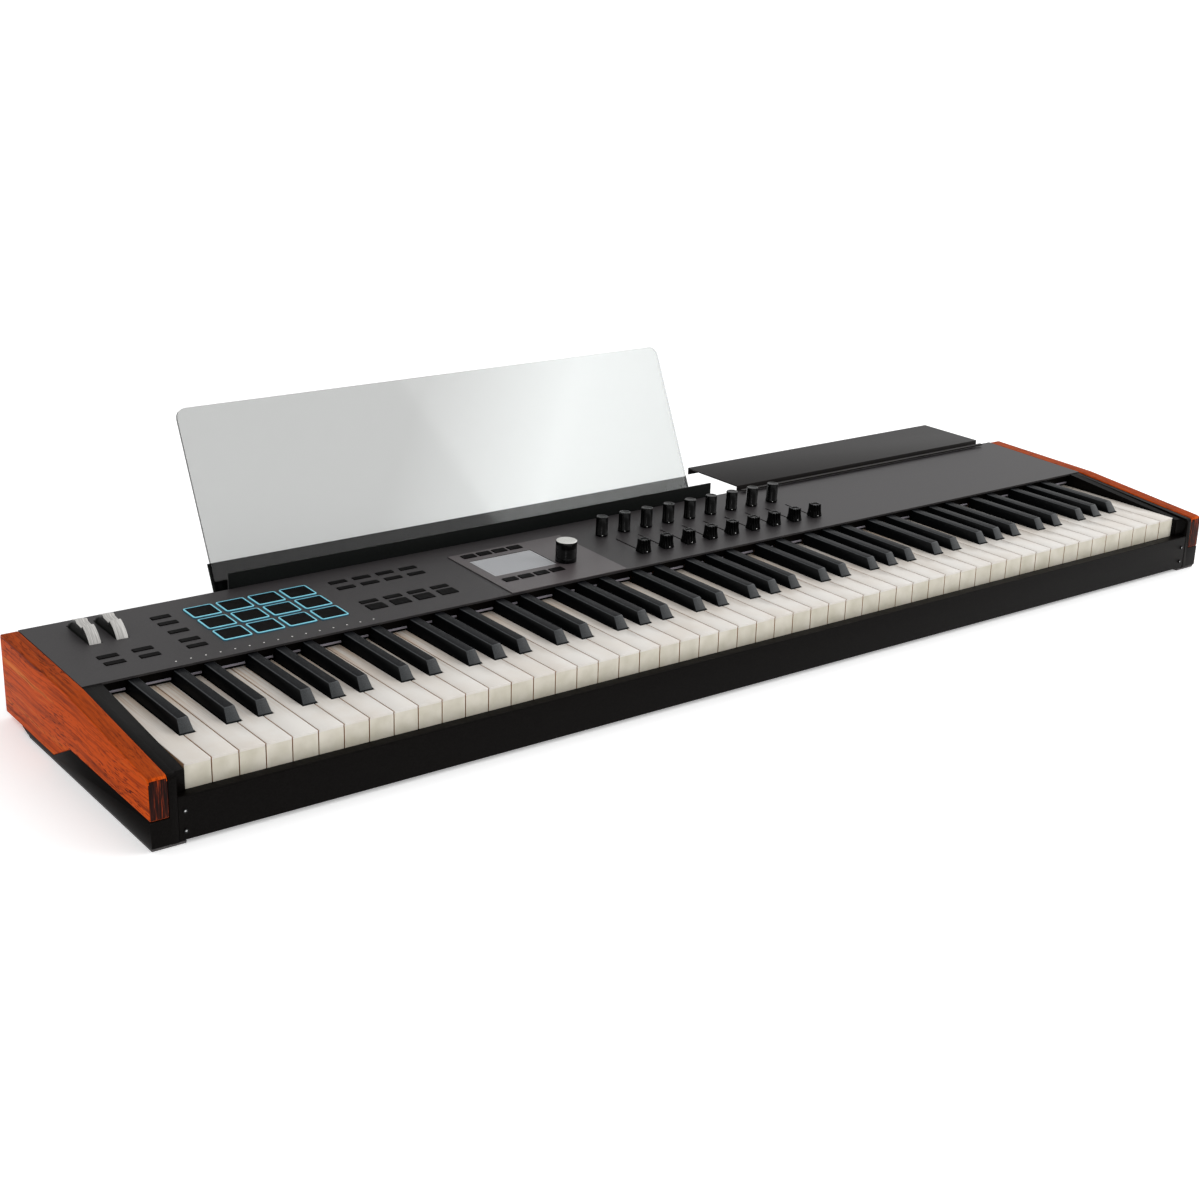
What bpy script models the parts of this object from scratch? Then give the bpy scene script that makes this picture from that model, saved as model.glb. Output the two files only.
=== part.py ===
"""Synthesizer with 88 keys, wooden end panels, a music rest and a laptop shelf.

Metres, +Z up, +X to the player's right, +Y to the rear. Positions along Y are counted from the front
of the white keys, and the whole object hangs on one empty that brings its box's centre to the origin.
"""
import bpy
import bmesh
from math import atan2, cos, pi, radians, sin, tan
from mathutils import Matrix, Vector

GAP = 0.0003               # between pieces that touch
SHEET = 0.002              # panel and case metal

# Keys
KEY_PITCH = 0.0235
WHITE_COUNT = 52
WHITE_GAP = 0.001          # between two white keys
WHITE_TOP = 0.062          # height of the playing surface
WHITE_HEIGHT = 0.022
BLACK_RISE = 0.011         # black key above white key
BLACK_DROP = 0.005         # black cap below the white surface
BLACK_BASE = 0.0132        # widths of the black cap, bottom and top
BLACK_CREST = 0.0084
BLACK_NOSE = 0.0515        # where the black cap starts, at its bottom
BLACK_SLOPE = 0.0095       # how far its front leans back
BLACK_SIDE = 0.0006        # clearance to the white keys beside it
BLACK_STEM_WIDTH = 0.009
BLACK_STEM_HEIGHT = 0.0034
BLACK_BACK = 0.1568        # rear end of the black cap
STEM_LAP = 0.006           # how far the stem runs into the cap
PIVOT_Y = 0.222
PIVOT_Z = 0.046
HEEL = 0.004               # key behind its pivot
BRIDGE = 0.012             # rear bar that joins a group of keys
BLACK_PIVOT_CLEAR = 0.0006 # black key's stem over the white key's heel
# The black key that follows each white key, by the white key's place in its octave from C.
BLACK_OFFSET = {0: -0.0024, 1: 0.0024, 3: -0.0036, 4: 0.0, 5: 0.0036}
FIRST_WHITE_STEP = 5       # the lowest white key is an A
SINGLE_FIRST = 23          # the octave whose keys move one by one
SINGLE_LAST = 29
NOTES = ("c4", "d4", "e4", "f4", "g4", "a4", "b4")

# Case
SIDE_CLEAR = 0.0015        # keys to the end frames
CHEEK = 0.0172             # end frame beside the keys
CHEEK_OUTER = 0.0068       # the part of it that reaches the front
WOOD = 0.016
FRONT = 0.012              # front face ahead of the keys
RAIL_HEIGHT = 0.041
RAIL_THICK = 0.003
RAIL_BOTTOM = 0.0012
RAIL_KEY_GAP = 0.0012
FOOT = 0.0025
PLINTH_TOP = 0.026
PANEL_FRONT_Y = 0.1546
PANEL_FRONT_Z = 0.0765
PANEL_DEPTH = 0.1448
PANEL_PITCH = radians(1.5)
WOOD_NOSE_TOP = 0.0617     # height of the wood at its front
WOOD_KNEE = 0.0052         # how far before the panel its slope begins
WOOD_TAIL_BOTTOM = 0.006
WOOD_RAMP_REAR = 0.188
WOOD_RAMP_FRONT = 0.148
FOOT_REAR = 0.250
CHASSIS_FRONT = 0.015
STOP_TOP = 0.028

# Controls, measured on the panel from its front edge
WHEEL_R = 0.0292
WHEEL_WIDTH = 0.0112
WHEEL_DEPTH = 0.0153       # axle below the panel's top
WHEEL_X = (-0.5840, -0.5590)
WHEEL_SLOT_SIDE = 0.0007
WHEEL_SLOT_END = 0.0006
NOTCH_R = 0.0105
NOTCH_DEPTH = 0.0040
AXLE_R = 0.0025
AXLE_CLEAR = 0.0003
BRACKET = 0.0015           # plates that hang the axle from the panel
BRACKET_SIDE = 0.0025
BRACKET_REACH = 0.006
BUTTON = (0.0184, 0.0068)
THICK_BUTTON = (0.0184, 0.0132)
SCREEN_BUTTON = (0.0153, 0.0092)
BUTTON_RISE = 0.0007
BUTTON_CLEAR = 0.0004
BUTTON_TRAVEL = 0.001
WEB = 0.0008
WEB_DROP = 0.005           # top of a mat's web below the panel's top
WEB_MARGIN = 0.0035
WHEEL_BUTTON_X = (-0.5862, -0.5543)
WHEEL_BUTTON_Y = (0.0500, 0.0343)
COLUMN_X = -0.5104
COLUMN_Y = (0.1110, 0.0946, 0.0727, 0.0500, 0.0343)
BLOCK_X = -0.3283
BLOCK_PITCH = 0.0260
BLOCK_Y = (0.1110, 0.0943, 0.0518)
BLOCK_THICK_Y = 0.0373
SCREEN_BUTTON_X = -0.1807
SCREEN_BUTTON_PITCH = 0.0185
SCREEN_BUTTON_Y = (0.1076, 0.0325)
PAD = (0.0255, 0.0230)
PAD_RISE = 0.0009
PAD_X = -0.4722
PAD_Y = 0.0435
PAD_PITCH_X = 0.0325
PAD_PITCH_Y = 0.0306
PAD_CLEAR = 0.0016
PLATE_X = (-0.200, -0.062)
PLATE_Y = (0.0, 0.1170)
PLATE_THICK = 0.0010
PLATE_WINDOW = (-0.1925, -0.1105, 0.0255, 0.1130)
SCREEN_X = (-0.1887, -0.1150)
SCREEN_Y = (0.0468, 0.0944)
SCREEN_DEPTH = 0.004
ENCODER_X = -0.1023
ENCODER_Y = 0.0490
ENCODER_R = 0.0108
ENCODER_H = 0.0218
KNOB_COUNT = 9
KNOB_X = -0.0220
KNOB_PITCH = 0.0298
KNOB_Y = 0.0965
KNOB_R = 0.0067
KNOB_H = 0.0213
KNOB_SHAFT = 0.003
SHAFT_CLEAR = 0.0005
FADER_CAP = (0.0116, 0.0120, 0.0145)
FADER_X = -0.0157
FADER_Y = 0.0327
FADER_TRAVEL = 0.045
FADER_STEM = (0.0012, 0.0034)
SLOT_CLEAR = 0.0005
CAP_CLEAR = 0.0006
BOARD_DROP = 0.0064
BOARD = 0.0016
BOARD_X = (-0.535, 0.240)
BOARD_Y = (0.0155, 0.1355)
POST = 0.004               # posts that hang the board from the panel
POST_X = (-0.5300, -0.3517, -0.2150, -0.0450, 0.2350)
POST_INSET = 0.006

# Music rest and shelf
REST_LEAN = radians(25)
REST_X = (-0.426, 0.168)
TRAY_SHEET = 0.0015
TRAY_FLOOR = 0.060
TRAY_LIP = 0.0955
TRAY_TOP = 0.092
TRAY_DEPTH = 0.0315        # floor, front wall to the foot of the leaning wall
ACRYLIC = 0.003
ACRYLIC_SIDE = 0.002       # acrylic short of the tray's ends
ACRYLIC_TOP = 0.232
ACRYLIC_CORNER = 0.010
SHELF_X = (0.208, 0.606)
SHELF_TOP = 0.086
SHELF_DEPTH = 0.089
SHELF_FLANGE = 0.026
TONGUE_WIDTH = 0.030
TONGUE_INSET = 0.075       # tongue's centre from the end of its sheet
TONGUE_REACH = 0.0040
HOOK_DROP = 0.008
UNHOOK = 0.010             # lift that frees the hooks
SLOT_ROOM = 0.0012         # slot round a tongue

KEYS_WIDTH = WHITE_COUNT * KEY_PITCH
INNER = KEYS_WIDTH / 2 + SIDE_CLEAR
CHEEK_FACE = INNER + CHEEK
BLACK_TOP = WHITE_TOP + BLACK_RISE
STEM_BOTTOM = WHITE_TOP + BLACK_PIVOT_CLEAR
KEY_END = PIVOT_Y + HEEL
BRIDGE_Y = KEY_END - BRIDGE
WHEEL_Y = (KEY_END - PANEL_FRONT_Y + PANEL_DEPTH - SHEET) / 2   # midway from the keys to the rear wall
NOTCH_Y = BLACK_NOSE - BLACK_SIDE
PANEL_REAR_Y = PANEL_FRONT_Y + PANEL_DEPTH * cos(PANEL_PITCH)
PANEL_REAR_Z = PANEL_FRONT_Z + PANEL_DEPTH * sin(PANEL_PITCH)
REAR = PANEL_REAR_Y + 0.0005
TRAY_FRONT = REAR + GAP
WALL_FOOT = TRAY_FRONT + TRAY_DEPTH
PLANE_FOOT = WALL_FOOT - TRAY_SHEET / cos(REST_LEAN)
BOX_REAR = PLANE_FOOT + (ACRYLIC_TOP - TRAY_FLOOR - TRAY_SHEET) * tan(REST_LEAN)
MIDDLE_Y = (BOX_REAR - FRONT) / 2

parts = None
cutters = None
origin = None


def clear_scene():
    for obj in list(bpy.data.objects):
        bpy.data.objects.remove(obj, do_unlink=True)


def make_collection(name, helper=False):
    group = bpy.data.collections.new(name)
    bpy.context.scene.collection.children.link(group)
    group.hide_render = helper
    return group


def material(name, colour, roughness, metallic=0.0):
    mat = bpy.data.materials.new(name)
    mat.use_nodes = True
    shader = mat.node_tree.nodes["Principled BSDF"]
    shader.inputs["Base Color"].default_value = (*colour, 1.0)
    shader.inputs["Roughness"].default_value = roughness
    shader.inputs["Metallic"].default_value = metallic
    return mat


def place(obj, parent, location=(0, 0, 0), rotation=(0, 0, 0)):
    obj.parent = parent
    obj.location = location
    obj.rotation_euler = rotation
    return obj


def empty(name, parent, location=(0, 0, 0), rotation=(0, 0, 0)):
    obj = bpy.data.objects.new(name, None)
    parts.objects.link(obj)
    return place(obj, parent, location, rotation)


def outline_object(name, loops, thickness, group=None):
    """A flat plate: closed loops in local XY, the first one outside and the others holes."""
    data = bpy.data.curves.new(name, "CURVE")
    data.dimensions = "2D"
    data.fill_mode = "BOTH"
    data.extrude = thickness / 2
    for loop in loops:
        spline = data.splines.new("POLY")
        spline.points.add(len(loop) - 1)
        for point, (x, y) in zip(spline.points, loop):
            point.co = (x, y, 0, 1)
        spline.use_cyclic_u = True
    obj = bpy.data.objects.new(name, data)
    (group or parts).objects.link(obj)
    return obj


def to_mesh(obj):
    """The same object as a welded mesh, which takes modifiers."""
    graph = bpy.context.evaluated_depsgraph_get()
    mesh = bpy.data.meshes.new_from_object(obj.evaluated_get(graph))
    work = bmesh.new()
    work.from_mesh(mesh)
    bmesh.ops.remove_doubles(work, verts=work.verts, dist=0.00001)
    bmesh.ops.dissolve_limit(work, angle_limit=0.001, verts=work.verts, edges=work.edges)
    bmesh.ops.recalc_face_normals(work, faces=work.faces)
    work.to_mesh(mesh)
    work.free()
    name = obj.name
    groups = list(obj.users_collection)
    parent = obj.parent
    location = obj.location.copy()
    rotation = obj.rotation_euler.copy()
    bpy.data.objects.remove(obj, do_unlink=True)
    solid = bpy.data.objects.new(name, mesh)
    for group in groups:
        group.objects.link(solid)
    return place(solid, parent, location, rotation)


def box_mesh(name, boxes):
    """One mesh of separate boxes, each (x range, y range, z range)."""
    work = bmesh.new()
    for (x0, x1), (y0, y1), (z0, z1) in boxes:
        made = bmesh.ops.create_cube(work, size=1.0)
        fit = Matrix.Diagonal((x1 - x0, y1 - y0, z1 - z0, 1.0))
        centre = Matrix.Translation(((x0 + x1) / 2, (y0 + y1) / 2, (z0 + z1) / 2))
        bmesh.ops.transform(work, matrix=centre @ fit, verts=made["verts"])
    mesh = bpy.data.meshes.new(name)
    work.to_mesh(mesh)
    work.free()
    return mesh


def box_object(name, boxes, parent, group=None):
    obj = bpy.data.objects.new(name, box_mesh(name, boxes))
    (group or parts).objects.link(obj)
    return place(obj, parent)


def turned(name, profile, steps, parent, location):
    """A round piece about local Z: (radius, height) points from the top down."""
    mesh = bpy.data.meshes.new(name)
    edges = [(i, i + 1) for i in range(len(profile) - 1)]
    mesh.from_pydata([(r, 0, z) for r, z in profile], edges, [])
    obj = bpy.data.objects.new(name, mesh)
    parts.objects.link(obj)
    screw = obj.modifiers.new("turn", "SCREW")
    screw.steps = steps
    screw.render_steps = steps
    screw.use_merge_vertices = True
    screw.merge_threshold = 0.00001
    screw.use_smooth_shade = True
    return place(obj, parent, location)


def boolean(obj, other, operation):
    """Joins or cuts, with the other object kept as a hidden helper."""
    modifier = obj.modifiers.new(operation.lower(), "BOOLEAN")
    modifier.operation = operation
    modifier.solver = "EXACT"
    modifier.use_self = operation == "UNION"
    modifier.object = other
    other.hide_render = True
    other.display_type = "WIRE"
    if other.name not in cutters.objects:
        for group in list(other.users_collection):
            group.objects.unlink(other)
        cutters.objects.link(other)


def bevel(obj, width, segments=1):
    modifier = obj.modifiers.new("edges", "BEVEL")
    modifier.width = width
    modifier.segments = segments
    modifier.limit_method = "ANGLE"
    modifier.angle_limit = radians(40)


def rectangle(x0, x1, y0, y1):
    return [(x0, y0), (x1, y0), (x1, y1), (x0, y1)]


def around(x, y, size, margin=0.0):
    width = size[0] / 2 + margin
    depth = size[1] / 2 + margin
    return rectangle(x - width, x + width, y - depth, y + depth)


def circle(x, y, radius, sides=12):
    return [(x + radius * cos(2 * pi * i / sides), y + radius * sin(2 * pi * i / sides)) for i in range(sides)]


def rounded(corners, segments=3):
    """An outline of (x, y, radius) corners, each one turned into an arc."""
    points = []
    count = len(corners)
    for i, (x, y, radius) in enumerate(corners):
        here = Vector((x, y))
        if radius <= 0:
            points.append((x, y))
            continue
        before = (Vector(corners[i - 1][:2]) - here).normalized()
        after = (Vector(corners[(i + 1) % count][:2]) - here).normalized()
        half = before.angle(after) / 2
        reach = radius / tan(half)
        centre = here + (before + after).normalized() * (radius / sin(half))
        start = here + before * reach - centre
        stop = here + after * reach - centre
        turn = start.angle_signed(stop)
        for step in range(segments + 1):
            arm = start.copy()
            arm.rotate(Matrix.Rotation(-turn * step / segments, 2))
            points.append(tuple(centre + arm))
    return points


def profile_piece(name, loops, x0, x1, parent=None, group=None):
    """An outline in the YZ plane, drawn out along X from x0 to x1."""
    obj = outline_object(name, loops, x1 - x0, group)
    return place(obj, parent or origin, ((x0 + x1) / 2, 0, 0), (pi / 2, 0, pi / 2))


# ---------------------------------------------------------------- keys

def step_of(white):
    return (white + FIRST_WHITE_STEP) % 7


def has_black(white):
    """Whether a black key follows this white key."""
    return 0 <= white < WHITE_COUNT - 1 and step_of(white) in BLACK_OFFSET


def boundary(white):
    """X of the left boundary of a white key."""
    return (white - WHITE_COUNT / 2) * KEY_PITCH


def black_centre(white):
    return boundary(white + 1) + BLACK_OFFSET[step_of(white)]


def white_outline(first, last):
    """White keys first to last in plan, joined at the rear by one bridge."""
    reach = BLACK_BASE / 2 + BLACK_SIDE
    points = []
    for white in range(first, last + 1):
        left = boundary(white) + WHITE_GAP / 2
        right = boundary(white + 1) - WHITE_GAP / 2
        points_left = [(left, BRIDGE_Y)]
        points_right = [(right, BRIDGE_Y)]
        if has_black(white - 1):
            inner = black_centre(white - 1) + reach
            points_left = [(inner, BRIDGE_Y), (inner, NOTCH_Y), (left, NOTCH_Y)]
        if has_black(white):
            inner = black_centre(white) - reach
            points_right = [(right, NOTCH_Y), (inner, NOTCH_Y), (inner, BRIDGE_Y)]
        points += points_left + [(left, 0), (right, 0)] + points_right
    points += [(points[-1][0], KEY_END), (points[0][0], KEY_END)]
    return points


def hinge_empty(name):
    return empty(name + "_pivot", origin, (0, PIVOT_Y, PIVOT_Z))


def white_keys(name, first, last, mat):
    obj = outline_object(name, [white_outline(first, last)], WHITE_HEIGHT)
    place(obj, hinge_empty(name), (0, -PIVOT_Y, WHITE_TOP - WHITE_HEIGHT / 2 - PIVOT_Z))
    obj.data.materials.append(mat)


def black_cap_mesh(name, centres):
    """Tapered caps with a leaning front, one for each centre."""
    work = bmesh.new()
    low = WHITE_TOP - BLACK_DROP
    for centre in centres:
        made = bmesh.ops.create_cube(work, size=1.0)
        for vert in made["verts"]:
            top = vert.co.z > 0
            width = BLACK_CREST if top else BLACK_BASE
            nose = BLACK_NOSE + (BLACK_SLOPE if top else 0)
            vert.co.x = centre + (width / 2 if vert.co.x > 0 else -width / 2)
            vert.co.y = BLACK_BACK if vert.co.y > 0 else nose
            vert.co.z = BLACK_TOP if top else low
    mesh = bpy.data.meshes.new(name)
    work.to_mesh(mesh)
    work.free()
    return mesh


def black_outline(centres):
    """The flat stems in plan, joined at the rear by one bridge where there are several."""
    half = BLACK_STEM_WIDTH / 2
    points = []
    front = BLACK_BACK - STEM_LAP
    for centre in centres:
        left = centre - half
        right = centre + half
        points += [(left, BRIDGE_Y), (left, front), (right, front), (right, BRIDGE_Y)]
    points += [(points[-1][0], KEY_END), (points[0][0], KEY_END)]
    return points


def black_keys(name, whites, mat):
    centres = [black_centre(white) for white in whites]
    pivot = hinge_empty(name)
    stems = outline_object(name, [black_outline(centres)], BLACK_STEM_HEIGHT)
    stems = to_mesh(stems)
    place(stems, pivot, (0, -PIVOT_Y, STEM_BOTTOM + BLACK_STEM_HEIGHT / 2 - PIVOT_Z))
    caps = bpy.data.objects.new(name + "_caps", black_cap_mesh(name + "_caps", centres))
    cutters.objects.link(caps)
    place(caps, pivot, (0, -PIVOT_Y, -PIVOT_Z))
    boolean(stems, caps, "UNION")
    stems.data.materials.append(mat)


def make_keys(ivory, ebony):
    white_keys("white_keys_low", 0, SINGLE_FIRST - 1, ivory)
    white_keys("white_keys_high", SINGLE_LAST + 1, WHITE_COUNT - 1, ivory)
    black_keys("black_keys_low", [w for w in range(SINGLE_FIRST - 1) if has_black(w)], ebony)
    high = range(SINGLE_LAST + 1, WHITE_COUNT)
    black_keys("black_keys_high", [w for w in high if has_black(w)], ebony)
    for white in range(SINGLE_FIRST, SINGLE_LAST + 1):
        note = NOTES[white - SINGLE_FIRST]
        white_keys("key_" + note, white, white, ivory)
        if has_black(white):
            black_keys("key_" + note[0] + "_sharp" + note[1], [white], ebony)


def make_guide(mat):
    """An upright plate behind the black caps, with a tooth between each two stems."""
    room = BLACK_STEM_WIDTH / 2 + BLACK_SIDE
    bar = STEM_BOTTOM + BLACK_STEM_HEIGHT + 0.0012
    low = WHITE_TOP + GAP
    points = [(-KEYS_WIDTH / 2, low)]
    for white in range(WHITE_COUNT):
        if has_black(white):
            centre = black_centre(white)
            points += [(centre - room, low), (centre - room, bar), (centre + room, bar), (centre + room, low)]
    top = PANEL_FRONT_Z - SHEET - GAP
    points += [(KEYS_WIDTH / 2, low), (KEYS_WIDTH / 2, top), (-KEYS_WIDTH / 2, top)]
    obj = outline_object("key_guide_comb", [points], 0.0025)
    place(obj, origin, (0, BLACK_BACK + 0.0025, 0), (pi / 2, 0, 0))
    obj.data.materials.append(mat)


# ---------------------------------------------------------------- case

def slope_top(y):
    """Height of the wood's sloping top edge."""
    knee = PANEL_FRONT_Y - WOOD_KNEE
    share = (y + FRONT) / (knee + FRONT)
    return WOOD_NOSE_TOP + share * (PANEL_FRONT_Z - WOOD_NOSE_TOP)


def make_wood(side, name, mat):
    outline = rounded([
        (-FRONT, PLINTH_TOP + GAP, 0.001),
        (WOOD_RAMP_FRONT, PLINTH_TOP + GAP, 0.012),
        (WOOD_RAMP_REAR, WOOD_TAIL_BOTTOM + GAP, 0),
        (REAR, WOOD_TAIL_BOTTOM + GAP, 0.001),
        (REAR, PANEL_REAR_Z, 0.003),
        (PANEL_FRONT_Y - WOOD_KNEE, PANEL_FRONT_Z, 0.02),
        (-FRONT, WOOD_NOSE_TOP, 0.005),
    ])
    inner = CHEEK_FACE + GAP
    outer = inner + WOOD
    span = (inner, outer) if side > 0 else (-outer, -inner)
    obj = to_mesh(profile_piece(name, [outline], *span))
    bevel(obj, 0.0018, 2)
    obj.data.materials.append(mat)


def make_end_frame(side, name, mat):
    outer = CHEEK_FACE + GAP + WOOD - 0.0003
    cheek_back = PANEL_FRONT_Y - 0.0008
    under = PANEL_FRONT_Z - SHEET - GAP
    lower = FOOT + GAP
    tail = [(REAR - SHEET, lower, 0), (REAR - SHEET, PANEL_REAR_Z - SHEET - 0.0006, 0)]
    wall_head = [(cheek_back, under, 0), (cheek_back, slope_top(cheek_back) - 0.001, 0)]

    def body(front, nose):
        return [(front, lower, 0)] + tail + wall_head + nose

    reach = body(-FRONT, [(-FRONT, WOOD_NOSE_TOP - 0.0008, 0.004)])
    ledge = -FRONT + RAIL_THICK + GAP
    step_y = -0.004
    behind = -RAIL_KEY_GAP + GAP
    over = RAIL_HEIGHT + GAP
    below = RAIL_HEIGHT - RAIL_THICK - GAP
    step = [(step_y, slope_top(step_y) - 0.0028, 0.002), (step_y, over, 0), (behind, over, 0),
            (behind, below, 0), (ledge, below, 0)]
    recessed = body(ledge, step)
    plinth = [(-FRONT, lower, 0.001), (FOOT_REAR, lower, 0), (FOOT_REAR + 0.012, WOOD_TAIL_BOTTOM, 0),
              (WOOD_RAMP_REAR, WOOD_TAIL_BOTTOM, 0), (WOOD_RAMP_FRONT, PLINTH_TOP, 0.012),
              (-FRONT, PLINTH_TOP, 0.001)]
    split = CHEEK_FACE - CHEEK_OUTER

    def span(a, b):
        return (a, b) if side > 0 else (-b, -a)

    frame = to_mesh(profile_piece(name, [rounded(reach)], *span(split, CHEEK_FACE)))
    inside = to_mesh(profile_piece(name + "_inside", [rounded(recessed)], *span(INNER, split + 0.001)))
    base = to_mesh(profile_piece(name + "_base", [rounded(plinth)], *span(split + 0.002, outer)))
    boolean(frame, inside, "UNION")
    boolean(frame, base, "UNION")
    frame.data.materials.append(mat)


def make_foot(side, name, mat):
    outer = CHEEK_FACE + GAP + WOOD - 0.001
    inner = INNER + 0.004
    span = (inner, outer) if side > 0 else (-outer, -inner)
    outline = [(-FRONT + 0.002, 0.0), (FOOT_REAR - 0.004, 0.0), (FOOT_REAR, FOOT), (-FRONT + 0.001, FOOT)]
    obj = profile_piece(name, [outline], *span)
    obj.data.materials.append(mat)


def make_rail(mat):
    half = CHEEK_FACE - CHEEK_OUTER - GAP
    back = -RAIL_KEY_GAP
    outline = [(-FRONT, RAIL_BOTTOM + FOOT), (-FRONT + RAIL_THICK, RAIL_BOTTOM + FOOT),
               (-FRONT + RAIL_THICK, RAIL_HEIGHT - RAIL_THICK), (back, RAIL_HEIGHT - RAIL_THICK),
               (back, RAIL_HEIGHT - 0.0008), (back - 0.0008, RAIL_HEIGHT), (-FRONT + 0.0008, RAIL_HEIGHT),
               (-FRONT, RAIL_HEIGHT - 0.0008)]
    obj = profile_piece("front_rail", [outline], -half, half)
    obj.data.materials.append(mat)


def tongue_centres():
    return [end + inset for pair in (REST_X, SHELF_X)
            for end, inset in zip(pair, (TONGUE_INSET, -TONGUE_INSET))]


def make_case(mat):
    """Floor and rear wall in one folded sheet, with slots for the hooks of the rest and the shelf."""
    half = INNER - GAP
    low = FOOT + 0.0005
    front = -FRONT + RAIL_THICK + GAP
    wall_top = PANEL_REAR_Z - SHEET - 0.0010
    inside = REAR - SHEET
    outline = [(front, low), (REAR, low), (REAR, wall_top), (inside, wall_top), (inside, low + SHEET),
               (front, low + SHEET)]
    case = to_mesh(profile_piece("bottom_case", [outline], -half, half))
    low_slot = TRAY_FLOOR - GAP
    high_slot = TRAY_FLOOR + TRAY_SHEET + UNHOOK + SLOT_ROOM
    room = TONGUE_WIDTH / 2 + SLOT_ROOM
    slots = [((x - room, x + room), (inside - 0.001, REAR + 0.001), (low_slot, high_slot))
             for x in tongue_centres()]
    boolean(case, box_object("hook_slot_cutter", slots, origin, cutters), "DIFFERENCE")
    case.data.materials.append(mat)


def make_chassis(mat):
    """Key-bed floor with a front stop and the wall that the keys rock on."""
    low = FOOT + 0.0005 + SHEET + GAP
    wall = WHITE_TOP - WHITE_HEIGHT - 0.0006
    outline = [(CHASSIS_FRONT, low), (KEY_END - 0.0005, low), (KEY_END - 0.0005, low + SHEET),
               (PIVOT_Y + 0.0015, low + SHEET), (PIVOT_Y + 0.0015, wall), (PIVOT_Y - 0.0015, wall),
               (PIVOT_Y - 0.0015, low + SHEET), (CHASSIS_FRONT + SHEET, low + SHEET),
               (CHASSIS_FRONT + SHEET, STOP_TOP), (CHASSIS_FRONT, STOP_TOP)]
    half = KEYS_WIDTH / 2 - 0.004
    obj = profile_piece("keybed_chassis", [outline], -half, half)
    obj.data.materials.append(mat)


# ---------------------------------------------------------------- panel and controls

def block_centres():
    """Places and sizes of the buttons in the block of eight and eight."""
    found = []
    for column in range(4):
        x = BLOCK_X + column * BLOCK_PITCH
        found += [(x, y, BUTTON) for y in BLOCK_Y]
        found.append((x, BLOCK_THICK_Y, THICK_BUTTON))
    return found


def button_groups():
    wheel = [(x, y, BUTTON) for x in WHEEL_BUTTON_X for y in WHEEL_BUTTON_Y]
    column = [(COLUMN_X, y, BUTTON) for y in COLUMN_Y]
    screen = [(SCREEN_BUTTON_X + i * SCREEN_BUTTON_PITCH, y, SCREEN_BUTTON)
              for i in range(4) for y in SCREEN_BUTTON_Y]
    return {"wheel_buttons": wheel, "pad_buttons": column, "function_buttons": block_centres(),
            "screen_buttons": screen}


def pad_centres():
    return [(PAD_X + i * PAD_PITCH_X, PAD_Y + j * PAD_PITCH_Y) for i in range(4) for j in range(3)]


def knob_x(number):
    return KNOB_X + number * KNOB_PITCH


def fader_x(number):
    return FADER_X + number * KNOB_PITCH


def make_panel(frame, mat):
    half = CHEEK_FACE
    loops = [rectangle(-half, half, 0, PANEL_DEPTH)]
    reach = (WHEEL_R ** 2 - (WHEEL_DEPTH - SHEET) ** 2) ** 0.5 + WHEEL_SLOT_END
    for x in WHEEL_X:
        side = WHEEL_WIDTH / 2 + WHEEL_SLOT_SIDE
        loops.append(rectangle(x - side, x + side, WHEEL_Y - reach, WHEEL_Y + reach))
    for name, buttons in button_groups().items():
        if name != "screen_buttons":
            loops += [around(x, y, size, BUTTON_CLEAR) for x, y, size in buttons]
    loops += [around(x, y, PAD, PAD_CLEAR) for x, y in pad_centres()]
    loops.append(rectangle(*PLATE_WINDOW))
    loops.append(circle(ENCODER_X, ENCODER_Y, KNOB_SHAFT + SHAFT_CLEAR))
    for number in range(KNOB_COUNT):
        loops.append(circle(knob_x(number), KNOB_Y, KNOB_SHAFT + SHAFT_CLEAR))
        x = fader_x(number)
        side = FADER_STEM[0] / 2 + SLOT_CLEAR
        end = FADER_STEM[1] / 2 + SLOT_CLEAR
        loops.append(rectangle(x - side, x + side, FADER_Y - end, FADER_Y + FADER_TRAVEL + end))
    obj = outline_object("top_panel", loops, SHEET)
    place(obj, frame, (0, 0, -SHEET / 2))
    obj.data.materials.append(mat)


def make_buttons(frame, mat):
    """Each group of buttons is moulded on one web that lies under the panel."""
    for name, buttons in button_groups().items():
        xs = [x + sign * size[0] / 2 for x, _, size in buttons for sign in (-1, 1)]
        ys = [y + sign * size[1] / 2 for _, y, size in buttons for sign in (-1, 1)]
        top = BUTTON_RISE + (PLATE_THICK if name == "screen_buttons" else 0)
        edge = rectangle(min(xs) - WEB_MARGIN, max(xs) + WEB_MARGIN, min(ys) - WEB_MARGIN, max(ys) + WEB_MARGIN)
        web = to_mesh(outline_object(name, [edge], WEB))
        place(web, frame, (0, 0, -WEB_DROP - WEB / 2))
        caps = [((x - s[0] / 2, x + s[0] / 2), (y - s[1] / 2, y + s[1] / 2), (-WEB_DROP - WEB / 2, top))
                for x, y, s in buttons]
        boolean(web, box_object(name + "_caps", caps, frame, cutters), "UNION")
        web.data.materials.append(mat)


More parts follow.
